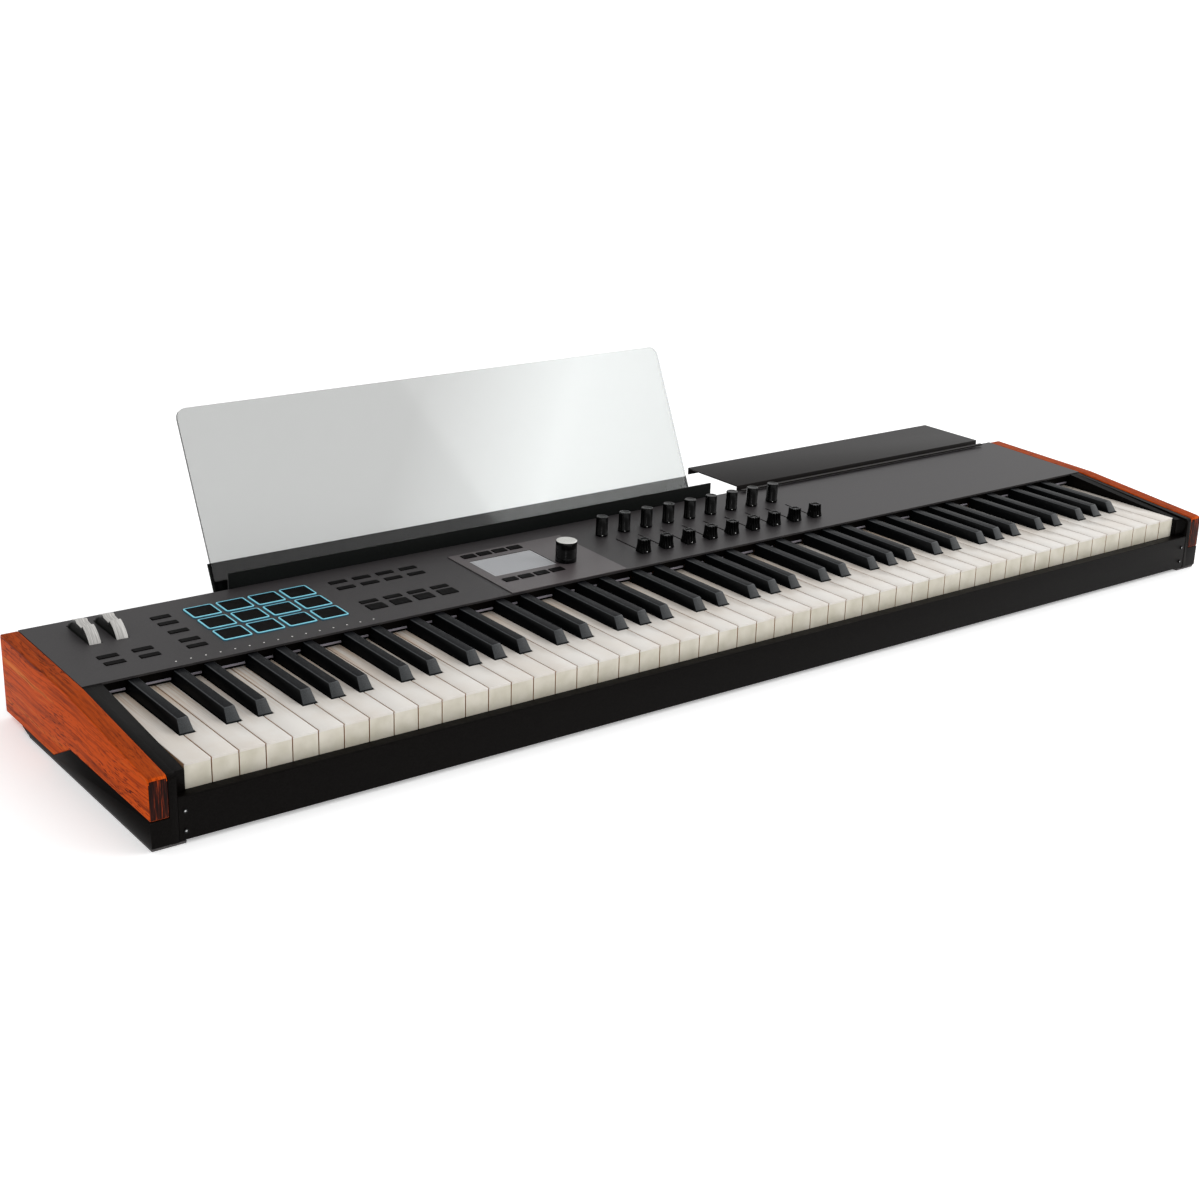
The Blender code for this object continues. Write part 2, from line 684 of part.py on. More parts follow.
def make_pads(frame, mat):
    x_half, y_half = PAD[0] / 2, PAD[1] / 2
    pads = [((x - x_half, x + x_half), (y - y_half, y + y_half), (-WEB_DROP - WEB / 2, PAD_RISE))
            for x, y in pad_centres()]
    low_x = PAD_X - x_half - WEB_MARGIN
    high_x = PAD_X + 3 * PAD_PITCH_X + x_half + WEB_MARGIN
    low_y = PAD_Y - y_half - WEB_MARGIN
    high_y = PAD_Y + 2 * PAD_PITCH_Y + y_half + WEB_MARGIN
    web = to_mesh(outline_object("drum_pads", [rectangle(low_x, high_x, low_y, high_y)], WEB))
    place(web, frame, (0, 0, -WEB_DROP - WEB / 2))
    boolean(web, box_object("drum_pads_caps", pads, frame, cutters), "UNION")
    web.data.materials.append(mat)


def make_display(frame, plate_mat, glass_mat):
    loops = [rectangle(*PLATE_X, *PLATE_Y)]
    loops.append(rectangle(SCREEN_X[0] - GAP, SCREEN_X[1] + GAP, SCREEN_Y[0] - GAP, SCREEN_Y[1] + GAP))
    loops += [around(x, y, size, BUTTON_CLEAR) for x, y, size in button_groups()["screen_buttons"]]
    loops.append(circle(ENCODER_X, ENCODER_Y, KNOB_SHAFT + SHAFT_CLEAR))
    plate = outline_object("display_plate", loops, PLATE_THICK - GAP)
    place(plate, frame, (0, 0, (PLATE_THICK + GAP) / 2))
    plate.data.materials.append(plate_mat)
    glass = box_object("display_glass", [(SCREEN_X, SCREEN_Y, (-SCREEN_DEPTH, PLATE_THICK - 0.0003))], frame)
    glass.data.materials.append(glass_mat)


def make_board(frame, mat):
    level = -BOARD_DROP - BOARD / 2 - BUTTON_TRAVEL
    board = to_mesh(outline_object("circuit_board", [rectangle(*BOARD_X, *BOARD_Y)], BOARD))
    place(board, frame, (0, 0, level))
    posts = [((x - POST / 2, x + POST / 2), (y - POST / 2, y + POST / 2), (level, -SHEET - GAP))
             for x in POST_X for y in (BOARD_Y[0] + POST_INSET, BOARD_Y[1] - POST_INSET)]
    boolean(board, box_object("circuit_board_posts", posts, frame, cutters), "UNION")
    board.data.materials.append(mat)


def make_rotaries(frame, encoder_mat, knob_mat):
    floor = -BOARD_DROP - BUTTON_TRAVEL + GAP
    top = ENCODER_H + PLATE_THICK
    under = PLATE_THICK + CAP_CLEAR
    profile = [(0, top), (ENCODER_R - 0.001, top), (ENCODER_R, top - 0.001), (ENCODER_R, under),
               (KNOB_SHAFT, under), (KNOB_SHAFT, floor), (0, floor)]
    encoder = turned("menu_encoder", profile, 20, frame, (ENCODER_X, ENCODER_Y, 0))
    encoder.data.materials.append(encoder_mat)
    crown = KNOB_R * 0.93
    profile = [(0, KNOB_H), (crown - 0.0008, KNOB_H), (crown, KNOB_H - 0.0008), (KNOB_R, CAP_CLEAR + 0.002),
               (KNOB_R, CAP_CLEAR), (KNOB_SHAFT, CAP_CLEAR), (KNOB_SHAFT, floor), (0, floor)]
    for number in range(KNOB_COUNT):
        knob = turned("knob_%d" % (number + 1), profile, 12, frame, (knob_x(number), KNOB_Y, 0))
        knob.data.materials.append(knob_mat)


def make_faders(frame, mat):
    width, depth, height = FADER_CAP
    stem_x, stem_y = FADER_STEM
    for number in range(KNOB_COUNT):
        name = "fader_cap_%d" % (number + 1)
        slider = empty(name + "_slide", frame, (fader_x(number), FADER_Y, 0))
        cap = box_object(name, [((-width / 2, width / 2), (-depth / 2, depth / 2), (CAP_CLEAR, height))], slider)
        for vert in cap.data.vertices:
            if vert.co.z > height / 2:
                vert.co.x *= 0.80
                vert.co.y *= 0.55
        stem = [((-stem_x / 2, stem_x / 2), (-stem_y / 2, stem_y / 2), (-WEB_DROP, height / 2))]
        boolean(cap, box_object(name + "_stem", stem, slider, cutters), "UNION")
        cap.data.materials.append(mat)


def wheel_outline():
    """A disc with a thumb notch cut into its crown by an arc."""
    centre = WHEEL_R - NOTCH_DEPTH + NOTCH_R
    height = (WHEEL_R ** 2 - NOTCH_R ** 2 + centre ** 2) / (2 * centre)
    half = (WHEEL_R ** 2 - height ** 2) ** 0.5
    rim_from = atan2(height, -half)
    rim_to = atan2(height, half) + 2 * pi
    rim = 28
    points = [(WHEEL_R * cos(rim_from + (rim_to - rim_from) * i / rim),
               WHEEL_R * sin(rim_from + (rim_to - rim_from) * i / rim)) for i in range(rim + 1)]
    notch_from = atan2(height - centre, half)
    notch_to = -pi - notch_from
    notch = 6
    for i in range(1, notch):
        angle = notch_from + (notch_to - notch_from) * i / notch
        points.append((NOTCH_R * cos(angle), centre + NOTCH_R * sin(angle)))
    return points


def make_wheels(frame, wheel_mat, axle_mat):
    for name, x in zip(("pitch_wheel", "mod_wheel"), WHEEL_X):
        loops = [wheel_outline(), circle(0, 0, AXLE_R + AXLE_CLEAR)]
        wheel = outline_object(name, loops, WHEEL_WIDTH)
        place(wheel, frame, (x, WHEEL_Y, -WHEEL_DEPTH), (pi / 2, 0, pi / 2))
        wheel.data.materials.append(wheel_mat)
    outer = (WHEEL_X[0] - WHEEL_WIDTH / 2 - BRACKET_SIDE, WHEEL_X[1] + WHEEL_WIDTH / 2 + BRACKET_SIDE)
    axle = to_mesh(outline_object("wheel_bracket", [circle(0, 0, AXLE_R)], outer[1] - outer[0] - 0.001))
    place(axle, frame, (sum(outer) / 2, WHEEL_Y, -WHEEL_DEPTH), (pi / 2, 0, pi / 2))
    half = BRACKET / 2
    plates = [((x - half, x + half), (WHEEL_Y - BRACKET_REACH, WHEEL_Y + BRACKET_REACH),
               (-WHEEL_DEPTH - BRACKET_REACH, -SHEET - GAP)) for x in (*outer, sum(WHEEL_X) / 2)]
    boolean(axle, box_object("wheel_bracket_plates", plates, frame, cutters), "UNION")
    axle.data.materials.append(axle_mat)


# ---------------------------------------------------------------- music rest and shelf

def add_tongues(obj, ends):
    """Two hooked tongues that pass through the rear wall and drop behind it."""
    half = TONGUE_WIDTH / 2
    inner = REAR - SHEET - TONGUE_REACH
    boxes = []
    for x in (ends[0] + TONGUE_INSET, ends[1] - TONGUE_INSET):
        across = (x - half, x + half)
        top = TRAY_FLOOR + TRAY_SHEET
        boxes.append((across, (inner + 0.001, TRAY_FRONT + 0.001), (TRAY_FLOOR, top)))
        boxes.append((across, (inner, inner + TRAY_SHEET), (TRAY_FLOOR - HOOK_DROP, top)))
    for number, tongue in enumerate(boxes):
        boolean(obj, box_object("%s_tongue_%d" % (obj.name, number), [tongue], origin, cutters), "UNION")


def make_music_rest(tray_mat, acrylic_mat):
    thin = TRAY_SHEET
    rise = TRAY_TOP - TRAY_FLOOR
    lean = tan(REST_LEAN)
    side = thin / cos(REST_LEAN)
    inner_foot = WALL_FOOT - side + thin * lean
    outline = [(TRAY_FRONT, TRAY_FLOOR), (WALL_FOOT, TRAY_FLOOR), (WALL_FOOT + rise * lean, TRAY_TOP),
               (WALL_FOOT + rise * lean - side, TRAY_TOP), (inner_foot, TRAY_FLOOR + thin),
               (TRAY_FRONT + thin, TRAY_FLOOR + thin), (TRAY_FRONT + thin, TRAY_LIP), (TRAY_FRONT, TRAY_LIP)]
    tray = to_mesh(profile_piece("music_tray", [outline], *REST_X))
    add_tongues(tray, REST_X)
    tray.data.materials.append(tray_mat)
    half = (REST_X[1] - REST_X[0]) / 2 - ACRYLIC_SIDE
    height = (ACRYLIC_TOP - TRAY_FLOOR - thin) / cos(REST_LEAN) - 0.002
    corner = ACRYLIC_CORNER
    loop = rounded([(-half, 0, 0), (half, 0, 0), (half, height, corner), (-half, height, corner)], 4)
    rest = outline_object("music_rest_panel", [loop], ACRYLIC)
    foot_y = inner_foot - (ACRYLIC / 2 + GAP) / cos(REST_LEAN) + 0.0012 * lean
    foot_z = TRAY_FLOOR + thin + 0.0012
    place(rest, origin, (sum(REST_X) / 2, foot_y, foot_z), (pi / 2 - REST_LEAN, 0, 0))
    rest.data.materials.append(acrylic_mat)


def make_shelf(mat):
    thin = TRAY_SHEET
    top = SHELF_TOP
    rear = TRAY_FRONT + SHELF_DEPTH
    outline = [(TRAY_FRONT, TRAY_FLOOR), (TRAY_FRONT + thin, TRAY_FLOOR), (TRAY_FRONT + thin, top - thin),
               (rear - thin, top - thin), (rear - thin, top - 0.008), (rear, top - 0.008), (rear, top),
               (TRAY_FRONT, top)]
    shelf = to_mesh(profile_piece("laptop_shelf", [outline], *SHELF_X))
    add_tongues(shelf, SHELF_X)
    shelf.data.materials.append(mat)


def build():
    global parts, cutters, origin
    clear_scene()
    parts = make_collection("synthesizer")
    cutters = make_collection("cutters", helper=True)
    origin = empty("object_origin", None, (0, -MIDDLE_Y, 0))
    frame = empty("panel_frame", origin, (0, PANEL_FRONT_Y, PANEL_FRONT_Z), (PANEL_PITCH, 0, 0))
    ivory = material("ivory_plastic", (0.75, 0.72, 0.68), 0.35)
    ebony = material("ebony_plastic", (0.02, 0.02, 0.022), 0.45)
    black = material("black_casting", (0.015, 0.015, 0.015), 0.5)
    panel = material("dark_panel", (0.06, 0.055, 0.055), 0.5, 0.3)
    wood = material("red_wood", (0.42, 0.11, 0.035), 0.5)
    steel = material("dark_steel", (0.04, 0.045, 0.043), 0.5, 0.5)
    silver = material("silver_paint", (0.45, 0.45, 0.44), 0.4, 0.3)
    rubber = material("black_rubber", (0.01, 0.01, 0.01), 0.8)
    strip = material("grey_rubber", (0.12, 0.12, 0.12), 0.8)
    gloss = material("gloss_black", (0.008, 0.008, 0.008), 0.15)
    plate = material("plate_metal", (0.11, 0.10, 0.10), 0.4, 0.3)
    glass = material("screen_glass", (0.35, 0.37, 0.38), 0.2)
    acrylic = material("clear_acrylic", (0.75, 0.78, 0.77), 0.05)
    fibre = material("green_fibreglass", (0.02, 0.12, 0.05), 0.5)
    make_keys(ivory, ebony)
    make_guide(black)
    make_case(black)
    make_chassis(steel)
    make_rail(black)
    for side, word in ((-1, "left"), (1, "right")):
        make_wood(side, "wood_panel_" + word, wood)
        make_end_frame(side, "end_frame_" + word, black)
        make_foot(side, "foot_strip_" + word, strip)
    make_panel(frame, panel)
    make_display(frame, plate, glass)
    make_board(frame, fibre)
    make_buttons(frame, rubber)
    make_pads(frame, rubber)
    make_rotaries(frame, gloss, gloss)
    make_faders(frame, rubber)
    make_wheels(frame, silver, steel)
    make_music_rest(steel, acrylic)
    make_shelf(steel)


build()
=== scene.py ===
"""Synthesizer with 88 keys, wooden end panels, a clear music rest and a steel shelf.

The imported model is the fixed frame: it is loaded first, and every piece made here rides on one of its
bodies. Metres throughout, +X to the player's right, +Y to the rear, +Z up.
"""

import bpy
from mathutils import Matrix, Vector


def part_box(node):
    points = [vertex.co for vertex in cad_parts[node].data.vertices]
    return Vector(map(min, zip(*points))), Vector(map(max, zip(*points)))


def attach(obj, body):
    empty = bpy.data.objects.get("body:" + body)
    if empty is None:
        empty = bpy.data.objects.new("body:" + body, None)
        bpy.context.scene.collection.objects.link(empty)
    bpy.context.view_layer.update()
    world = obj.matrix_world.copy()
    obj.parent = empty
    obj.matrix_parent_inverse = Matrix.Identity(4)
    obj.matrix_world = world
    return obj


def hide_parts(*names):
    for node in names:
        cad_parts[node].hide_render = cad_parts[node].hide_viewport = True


bl_info = {
    "name": "Synthesizer with wooden ends",
    "version": (1, 0, 0),
    "blender": (4, 5, 0),
    "location": "View3D > Sidebar > Synthesizer",
    "description": "Dresses a packed 88-key synthesizer and sets up its studio",
    "category": "Object",
}

from math import cos, pi, radians, sin

import bmesh
import bpy
from mathutils import Matrix, Vector

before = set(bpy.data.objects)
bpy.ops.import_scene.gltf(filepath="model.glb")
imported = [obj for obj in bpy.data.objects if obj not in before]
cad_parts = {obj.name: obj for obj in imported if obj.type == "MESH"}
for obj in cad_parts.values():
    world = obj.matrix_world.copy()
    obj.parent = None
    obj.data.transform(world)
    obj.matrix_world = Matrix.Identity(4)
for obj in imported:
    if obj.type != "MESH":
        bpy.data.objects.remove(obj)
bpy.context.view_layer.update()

# ---- sizes shared with the frame

KEY_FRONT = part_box("key_c4")[0].y  # front face of the white keys
KEY_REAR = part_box("key_c4")[1].y
WHITE_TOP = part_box("key_c4")[1].z
WHITE_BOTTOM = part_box("key_c4")[0].z
KEY_PITCH = 0.0235
WHITE_COUNT = 52
WHITE_GAP = 0.001
FIRST_WHITE_STEP = 5  # the lowest white key is an A
BLACK_OFFSET = {0: -0.0024, 1: 0.0024, 3: -0.0036, 4: 0.0, 5: 0.0036}
BLACK_HOLE = 0.0072  # half of the gap that a black key stands in
NOTCH = 0.0509  # where that gap starts, behind the front of the keys
LIP = 0.0024  # thickness of a white key's overhanging upper edge
BLACK_FRONT = KEY_FRONT + 0.0520
BLACK_REAR = KEY_FRONT + 0.1566
BLACK_HALF = 0.0066  # half the width of a black key at its flange
BLACK_FLANGE = 0.0004  # how far the flange stands out round the key
BLACK_CREST = 0.0048  # half the width of the crest
BLACK_RISE = 0.0106  # from the flange to the crest
BLACK_SLOPE = 0.0078  # how far the front leans back
SQUARE = 1.0  # an edge sharper than this, in radians, is rounded
NOTES = ("c4", "d4", "e4", "f4", "g4", "a4", "b4")
SINGLE_FIRST = 23  # white keys that move one by one
SINGLE_LAST = 29

PANEL_FRONT = Vector((0, KEY_FRONT + 0.1546, 0.0765))
PANEL_PITCH = radians(1.5)
PANEL = Matrix.Translation(PANEL_FRONT) @ Matrix.Rotation(PANEL_PITCH, 4, "X")
PLATE = 0.001  # display plate above the panel


# ---- properties

def colour(label, what, code):
    return bpy.props.StringProperty(name=label, description=what + ", as sRGB hex", default=code)


def amount(label, what, value, **more):
    return bpy.props.FloatProperty(name=label, description=what, default=value, **more)


class BodyLook(bpy.types.PropertyGroup):
    """Colours of the case and the parts made of wood and metal."""
    wood: colour("Wood", "Main colour of the end panels", "#C44C10")
    wood_pore: colour("Pores", "Colour of the open pores and dark figure", "#3A130A")
    panel: colour("Panel", "Powder coat of the top panel", "#2C292A")
    steel: colour("Sheet steel", "Coat of the tray and the shelf", "#1A1716")
    light_line: colour("Pad light", "Colour of the lit line round each pad", "#6FB6C6")


class KeyLook(bpy.types.PropertyGroup):
    """Sizes and colours of the keys."""
    ivory: colour("White keys", "Colour of the key tops", "#DEDAD4")
    # The key sides' brown is painted shade, seen in the gaps between the white keys.
    key_side: colour("Key sides", "Colour seen in the gap between two keys", "#B58A66")
    ebony: colour("Black keys", "Colour of the black keys", "#08090A")
    white_edge: amount("White edge", "Rounding of a white key's edges", 0.0006, unit="LENGTH")
    black_edge: amount("Black edge", "Rounding of a black key's crest", 0.0012, unit="LENGTH")


class StudioLook(bpy.types.PropertyGroup):
    """Camera and light."""
    lens: amount("Lens", "Focal length on a 36 mm wide sensor, in millimetres", 55.42)
    floor: colour("Floor", "Colour of the floor", "#FAFAFA")
    sky: amount("Room light", "Strength of the light from the room", 1.5)
    soft_box: amount("Soft box", "Power of the large light in front, in watts", 26.0)
    strip_light: amount("Strip light", "Power of the narrow light on the left, in watts", 5.0)


# ---- modelling

def only(obj):
    """Selects this object alone and makes it active."""
    bpy.ops.object.select_all(action="DESELECT")
    obj.select_set(True)
    bpy.context.view_layer.objects.active = obj
    return obj


def fix_place(obj):
    only(obj)
    bpy.ops.object.transform_apply(location=True, rotation=True, scale=True)
    return obj


def block(name, low, high):
    """A box between two corners, ready to be shaped."""
    low, high = Vector(low), Vector(high)
    bpy.ops.object.select_all(action="DESELECT")
    bpy.ops.mesh.primitive_cube_add(size=1, location=(low + high) / 2, scale=high - low)
    bpy.context.object.name = name
    return fix_place(bpy.context.object)


def drum(name, centre, radius, depth, sides=32, turn=(0, 0, 0)):
    """A cylinder along Z, or turned, ready to be shaped."""
    bpy.ops.object.select_all(action="DESELECT")
    bpy.ops.mesh.primitive_cylinder_add(
        vertices=sides, radius=radius, depth=depth, location=centre, rotation=turn)
    bpy.context.object.name = name
    return fix_place(bpy.context.object)


def edit(obj):
    only(obj)
    bpy.ops.object.mode_set(mode="EDIT")


def done():
    bpy.ops.object.mode_set(mode="OBJECT")


def pick(kind, test):
    """In edit mode, selects the faces or edges that pass the test."""
    obj = bpy.context.object
    bpy.ops.mesh.select_mode(type=kind)
    bpy.ops.mesh.select_all(action="DESELECT")
    mesh = bmesh.from_edit_mesh(obj.data)
    mesh.normal_update()
    found = 0
    for part in (mesh.faces if kind == "FACE" else mesh.edges):
        wanted = bool(test(part))
        part.select_set(wanted)
        found += wanted
    mesh.select_flush_mode()
    bmesh.update_edit_mesh(obj.data)
    if not found:
        raise RuntimeError("nothing to select on " + obj.name)


def pick_level(way):
    """In edit mode, selects the level faces that look up (1) or down (-1)."""
    pick("FACE", lambda face: face.normal.z * way > 0.99)


def middle(edge):
    return (edge.verts[0].co + edge.verts[1].co) / 2


def foot_of(edge):
    return min(vert.co.z for vert in edge.verts)


def run(edge):
    return (edge.verts[1].co - edge.verts[0].co).normalized()


def cut_across(axis, place):
    """In edit mode, cuts the whole mesh by a plane square to this axis."""
    normal = [float(axis == way) for way in range(3)]
    bpy.ops.mesh.select_all(action="SELECT")
    bpy.ops.mesh.bisect(plane_co=[place * step for step in normal], plane_no=normal)


def pull(*way):
    """In edit mode, extrudes the picked faces."""
    bpy.ops.mesh.extrude_region_move(TRANSFORM_OT_translate={"value": way})


def inset(thickness, depth=0.0):
    bpy.ops.mesh.inset(thickness=thickness, depth=depth)


def squeeze(x, y, centre=(0, 0, 0)):
    bpy.ops.transform.resize(value=(x, y, 1), center_override=centre)


def coat(obj, *finishes):
    """In edit mode, adds finishes and puts the last one on the picked faces."""
    for finish in finishes:
        obj.data.materials.append(finish)
    obj.active_material_index = len(obj.data.materials) - 1
    bpy.ops.object.material_slot_assign()


def round_edges(test, width, segments=2):
    pick("EDGE", test)
    bpy.ops.mesh.bevel(offset=width, offset_type="OFFSET", segments=segments, affect="EDGES")


def smooth(obj, angle=35):
    only(obj)
    bpy.ops.object.shade_smooth_by_angle(angle=radians(angle))
    return obj


def twin(obj, name, shift):
    """A copy with its own mesh, moved."""
    made = obj.copy()
    made.data = obj.data.copy()
    made.name = name
    made.data.name = name
    bpy.context.collection.objects.link(made)
    made.data.transform(Matrix.Translation(shift))
    return made


def joined(name, pieces):
    only(pieces[0])
    for piece in pieces[1:]:
        piece.select_set(True)
    if len(pieces) > 1:
        bpy.ops.object.join()
    obj = bpy.context.object
    obj.name = name
    obj.data.name = name
    return obj


def drop(*objects):
    for obj in objects:
        bpy.data.objects.remove(obj, do_unlink=True)


def onto_panel(obj):
    """From the panel's own coordinates, with its front edge at the origin, to the room's."""
    obj.data.transform(PANEL)
    obj.data.update()
    return obj


def dressed(obj, *materials):
    obj.data.materials.clear()
    for material in materials:
        obj.data.materials.append(material)
    return obj


def placed(obj, body, replaced=(), angle=35):
    """Smooths the piece, lets it ride on its body and says what it stands for."""
    smooth(obj, angle)
    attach(obj, body)
    if replaced:
        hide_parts(*replaced)
    return obj


# ---- materials

def linear(code):
    """sRGB hex to linear colour."""
    values = [int(code[i:i + 2], 16) / 255 for i in (1, 3, 5)]
    return (*[v / 12.92 if v <= 0.04045 else ((v + 0.055) / 1.055) ** 2.4 for v in values], 1.0)


def add(tree, kind, settings=None, **links):
    """Adds a node, sets its values and inputs, and links the inputs named by keyword."""
    made = tree.nodes.new(kind)
    for name, value in (settings or {}).items():
        if isinstance(name, int) or name in made.inputs:
            made.inputs[name].default_value = value
        else:
            setattr(made, name, value)
    for name, source in links.items():
        place = int(name[1:]) if name[1:].isdigit() else name.replace("_", " ")
        tree.links.new(made.inputs[place], source)
    return made


def surface(name, **values):
    """A material with one Principled shader, and its tree, shader and object coordinates."""
    material = bpy.data.materials.get(name)
    if material:
        return material, None, None, None
    material = bpy.data.materials.new(name)
    material.use_nodes = True
    tree = material.node_tree
    shader = tree.nodes["Principled BSDF"]
    for socket, value in values.items():
        shader.inputs[socket.replace("_", " ")].default_value = value
    where = add(tree, "ShaderNodeTexCoord").outputs["Object"]
    return material, tree, shader, where


def ramp(tree, factor, stops):
    made = add(tree, "ShaderNodeValToRGB", i0=factor)
    row = made.color_ramp.elements
    while len(row) < len(stops):
        row.new(0.5)
    for element, (place, colour) in zip(row, stops):
        element.position = place
        element.color = colour
    return made.outputs["Color"]


def grey(value):
    return (value, value, value, 1.0)


def noise(tree, where, scale, detail=3.0, roughness=0.5, stretch=(1, 1, 1), turn=(0, 0, 0)):
    mapped = add(tree, "ShaderNodeMapping", {"Scale": stretch, "Rotation": turn}, Vector=where)
    made = add(tree, "ShaderNodeTexNoise", {"Scale": scale, "Detail": detail, "Roughness": roughness},
               Vector=mapped.outputs[0])
    return made.outputs["Fac"]


def mix(tree, factor, first, second, mode="MIX"):
    """Mixes two colours; the factor is a socket or a number."""
    made = add(tree, "ShaderNodeMix", {"data_type": "RGBA", "blend_type": mode})
    for place, value in ((0, factor), (6, first), (7, second)):
        if isinstance(value, (int, float, tuple)):
            made.inputs[place].default_value = value
        else:
            tree.links.new(made.inputs[place], value)
    return made.outputs[2]


def bump(tree, shader, height, distance, strength=1.0):
    made = add(tree, "ShaderNodeBump", {"Distance": distance, "Strength": strength}, Height=height)
    tree.links.new(shader.inputs["Normal"], made.outputs[0])


def scaled(colour, factor, more=0.0):
    return tuple(min(1.0, c * factor + more) for c in colour[:3]) + (1.0,)


def shades(dark, light):
    return [(0.3, linear(dark)), (0.7, linear(light))]


def greys(low, high):
    return [(0.3, grey(low)), (0.7, grey(high))]


def toned(name, field, stops, socket="Base Color", lift=None, **values):
    """A material with one socket ramped over a noise field, which may also raise a bump."""
    material, tree, shader, where = surface(name, **values)
    if tree:
        level = noise(tree, where, *field)
        tree.links.new(shader.inputs[socket], ramp(tree, level, stops))
        if lift:
            bump(tree, shader, level, *lift)
    return material


def facing(tree, axis, *spread):
    """Maps how far a face points along this axis of the piece."""
    way = add(tree, "ShaderNodeSeparateXYZ", i0=add(tree, "ShaderNodeTexCoord").outputs["Normal"])
    return add(tree, "ShaderNodeMapRange", dict(enumerate(spread, 1)), i0=way.outputs[axis]).outputs[0]


def mahogany():
    """Oiled mahogany: orange-red, open-pored, with long bands and dark streaks along the board."""
    look = bpy.context.scene.body_look
    material, tree, shader, where = surface("oiled_mahogany", Roughness=0.5, Specular_IOR_Level=0.02)
    if not tree:
        return material
    base = linear(look.wood)
    dark = linear(look.wood_pore)
    # The figure bends: a slow wave pushes the grain up and down by some 6 mm.
    wave = noise(tree, where, 1.0, 2.0, 0.5, (6, 9, 9))
    lift = add(tree, "ShaderNodeMath", {"operation": "MULTIPLY_ADD", 1: 0.014, 2: -0.007}, i0=wave)
    shift = add(tree, "ShaderNodeCombineXYZ", i2=lift.outputs[0])
    grain = add(tree, "ShaderNodeVectorMath", {"operation": "ADD"}, i0=where, i1=shift.outputs[0]).outputs[0]
    lean = (radians(-5), 0, 0)
    # Growth bands run the length of the board, 6 to 14 mm apart on its face.
    bands = noise(tree, grain, 1.0, 4.0, 0.6, (300, 4.5, 95), lean)
    tone = ramp(tree, bands, [(0.30, linear("#74290C")), (0.45, base), (0.58, base), (0.72, linear("#D0702C"))])
    # Dark streaks a millimetre or two wide and 60 mm long.
    streaks = noise(tree, grain, 1.0, 3.0, 0.6, (500, 13, 430), lean)
    lines = ramp(tree, streaks, [(0.50, grey(0.0)), (0.66, grey(0.65))])
    tone = mix(tree, lines, tone, linear("#6A2009"))
    # Pores are under a millimetre wide; they are drawn 1.5 mm wide and 9 mm long, or they would not show.
    pores = noise(tree, grain, 1.0, 2.0, 0.5, (700, 90, 620), lean)
    dashes = ramp(tree, pores, [(0.56, grey(0.0)), (0.64, grey(1.0))])
    cover = noise(tree, where, 1.0, 2.0, 0.5, (20, 9, 22))
    spread = ramp(tree, cover, [(0.38, grey(0.15)), (0.62, grey(0.85))])
    share = mix(tree, 1.0, dashes, spread, "MULTIPLY")
    # Painted shade: the upward-facing top edges are darkened towards a deeper brown, half way at most.
    tone = mix(tree, facing(tree, "Z", 0.80, 0.95, 0.0, 0.5), tone, linear("#7A3618"))
    tree.links.new(shader.inputs["Base Color"], mix(tree, share, tone, dark))
    bump(tree, shader, pores, 0.0001, 0.4)
    return material


def end_grain():
    """Sawn ends of the mahogany boards: soaked dark, with upright streaks."""
    return toned("mahogany_end_grain", (1.0, 4.0, 0.6, (620, 300, 38)), [
        (0.40, linear("#120200")), (0.54, linear("#340D03")), (0.66, linear("#8A300C"))],
        lift=(0.0002, 0.5), Roughness=0.5, Specular_IOR_Level=0.1)


def speckled(name, code, roughness, specular, grain=0.12, size=900.0):
    """A fine, slightly uneven satin skin."""
    base = linear(code)
    return toned(name, (size, 2.0), [(0.35, scaled(base, 1 - grain)), (0.65, scaled(base, 1 + grain, 0.002))],
                 lift=(0.00003, 0.4), Roughness=roughness, Specular_IOR_Level=specular)


def panel_coat():
    """Satin powder coat of the top panel."""
    return speckled("powder_coated_steel_panel", bpy.context.scene.body_look.panel, 0.50, 0.42)


def casting_coat():
    """Black powder coat on castings and on the rail."""
    return speckled("black_powder_coated_casting", "#050302", 0.42, 0.05)


def sheet_coat():
    """Dark grey powder coat on folded sheet."""
    return speckled("grey_powder_coated_sheet", bpy.context.scene.body_look.steel, 0.45, 0.11)


def tray_coat():
    """The tray's powder coat, blacker than the shelf's."""
    return speckled("black_powder_coated_tray", "#101211", 0.42, 0.08)


def plate_coat():
    """Lighter satin paint of the plate round the screen."""
    return speckled("satin_display_plate", "#4C4647", 0.38, 0.5)


def ivory():
    """Moulded key-top acrylic: warm white and finely streaked, with painted shade that turns it browner towards the
    rear.
    """
    look = bpy.context.scene.key_look
    material, tree, shader, where = surface("moulded_ivory_plastic", Roughness=0.28, Specular_IOR_Level=0.4)
    if not tree:
        return material
    base = linear(look.ivory)
    cloudy = noise(tree, where, 22.0, 4.0, 0.6)
    tone = ramp(tree, cloudy, [(0.35, linear("#D8D1C8")), (0.6, base)])
    # Streaks a millimetre apart run along each key; the brown they carry is painted shade, growing towards the rear
    # and strongest behind the black keys' fronts.
    streaks = noise(tree, where, 1.0, 2.0, 0.5, (750, 9, 100))
    depth = add(tree, "ShaderNodeSeparateXYZ", i0=where).outputs["Y"]
    rear = add(tree, "ShaderNodeMapRange", {1: KEY_FRONT + 0.035, 2: KEY_FRONT + 0.14, 3: 0.0, 4: 0.8}, i0=depth)
    lines = ramp(tree, streaks, [(0.40, grey(0.15)), (0.60, grey(1.0))])
    share = mix(tree, 1.0, rear.outputs[0], lines, "MULTIPLY")
    tree.links.new(shader.inputs["Base Color"], mix(tree, share, tone, linear("#C2AB94")))
    bump(tree, shader, streaks, 0.00002, 0.3)
    return material


def shaded_ivory_front():
    """The keys' front faces: the same acrylic, painted darker and a little yellower as painted shade, since they face
    away from the light.
    """
    return toned("shaded_ivory_key_front", (60.0, 3.0), shades("#C8C2B0", "#DAD4C6"),
                 Roughness=0.35, Specular_IOR_Level=0.4)


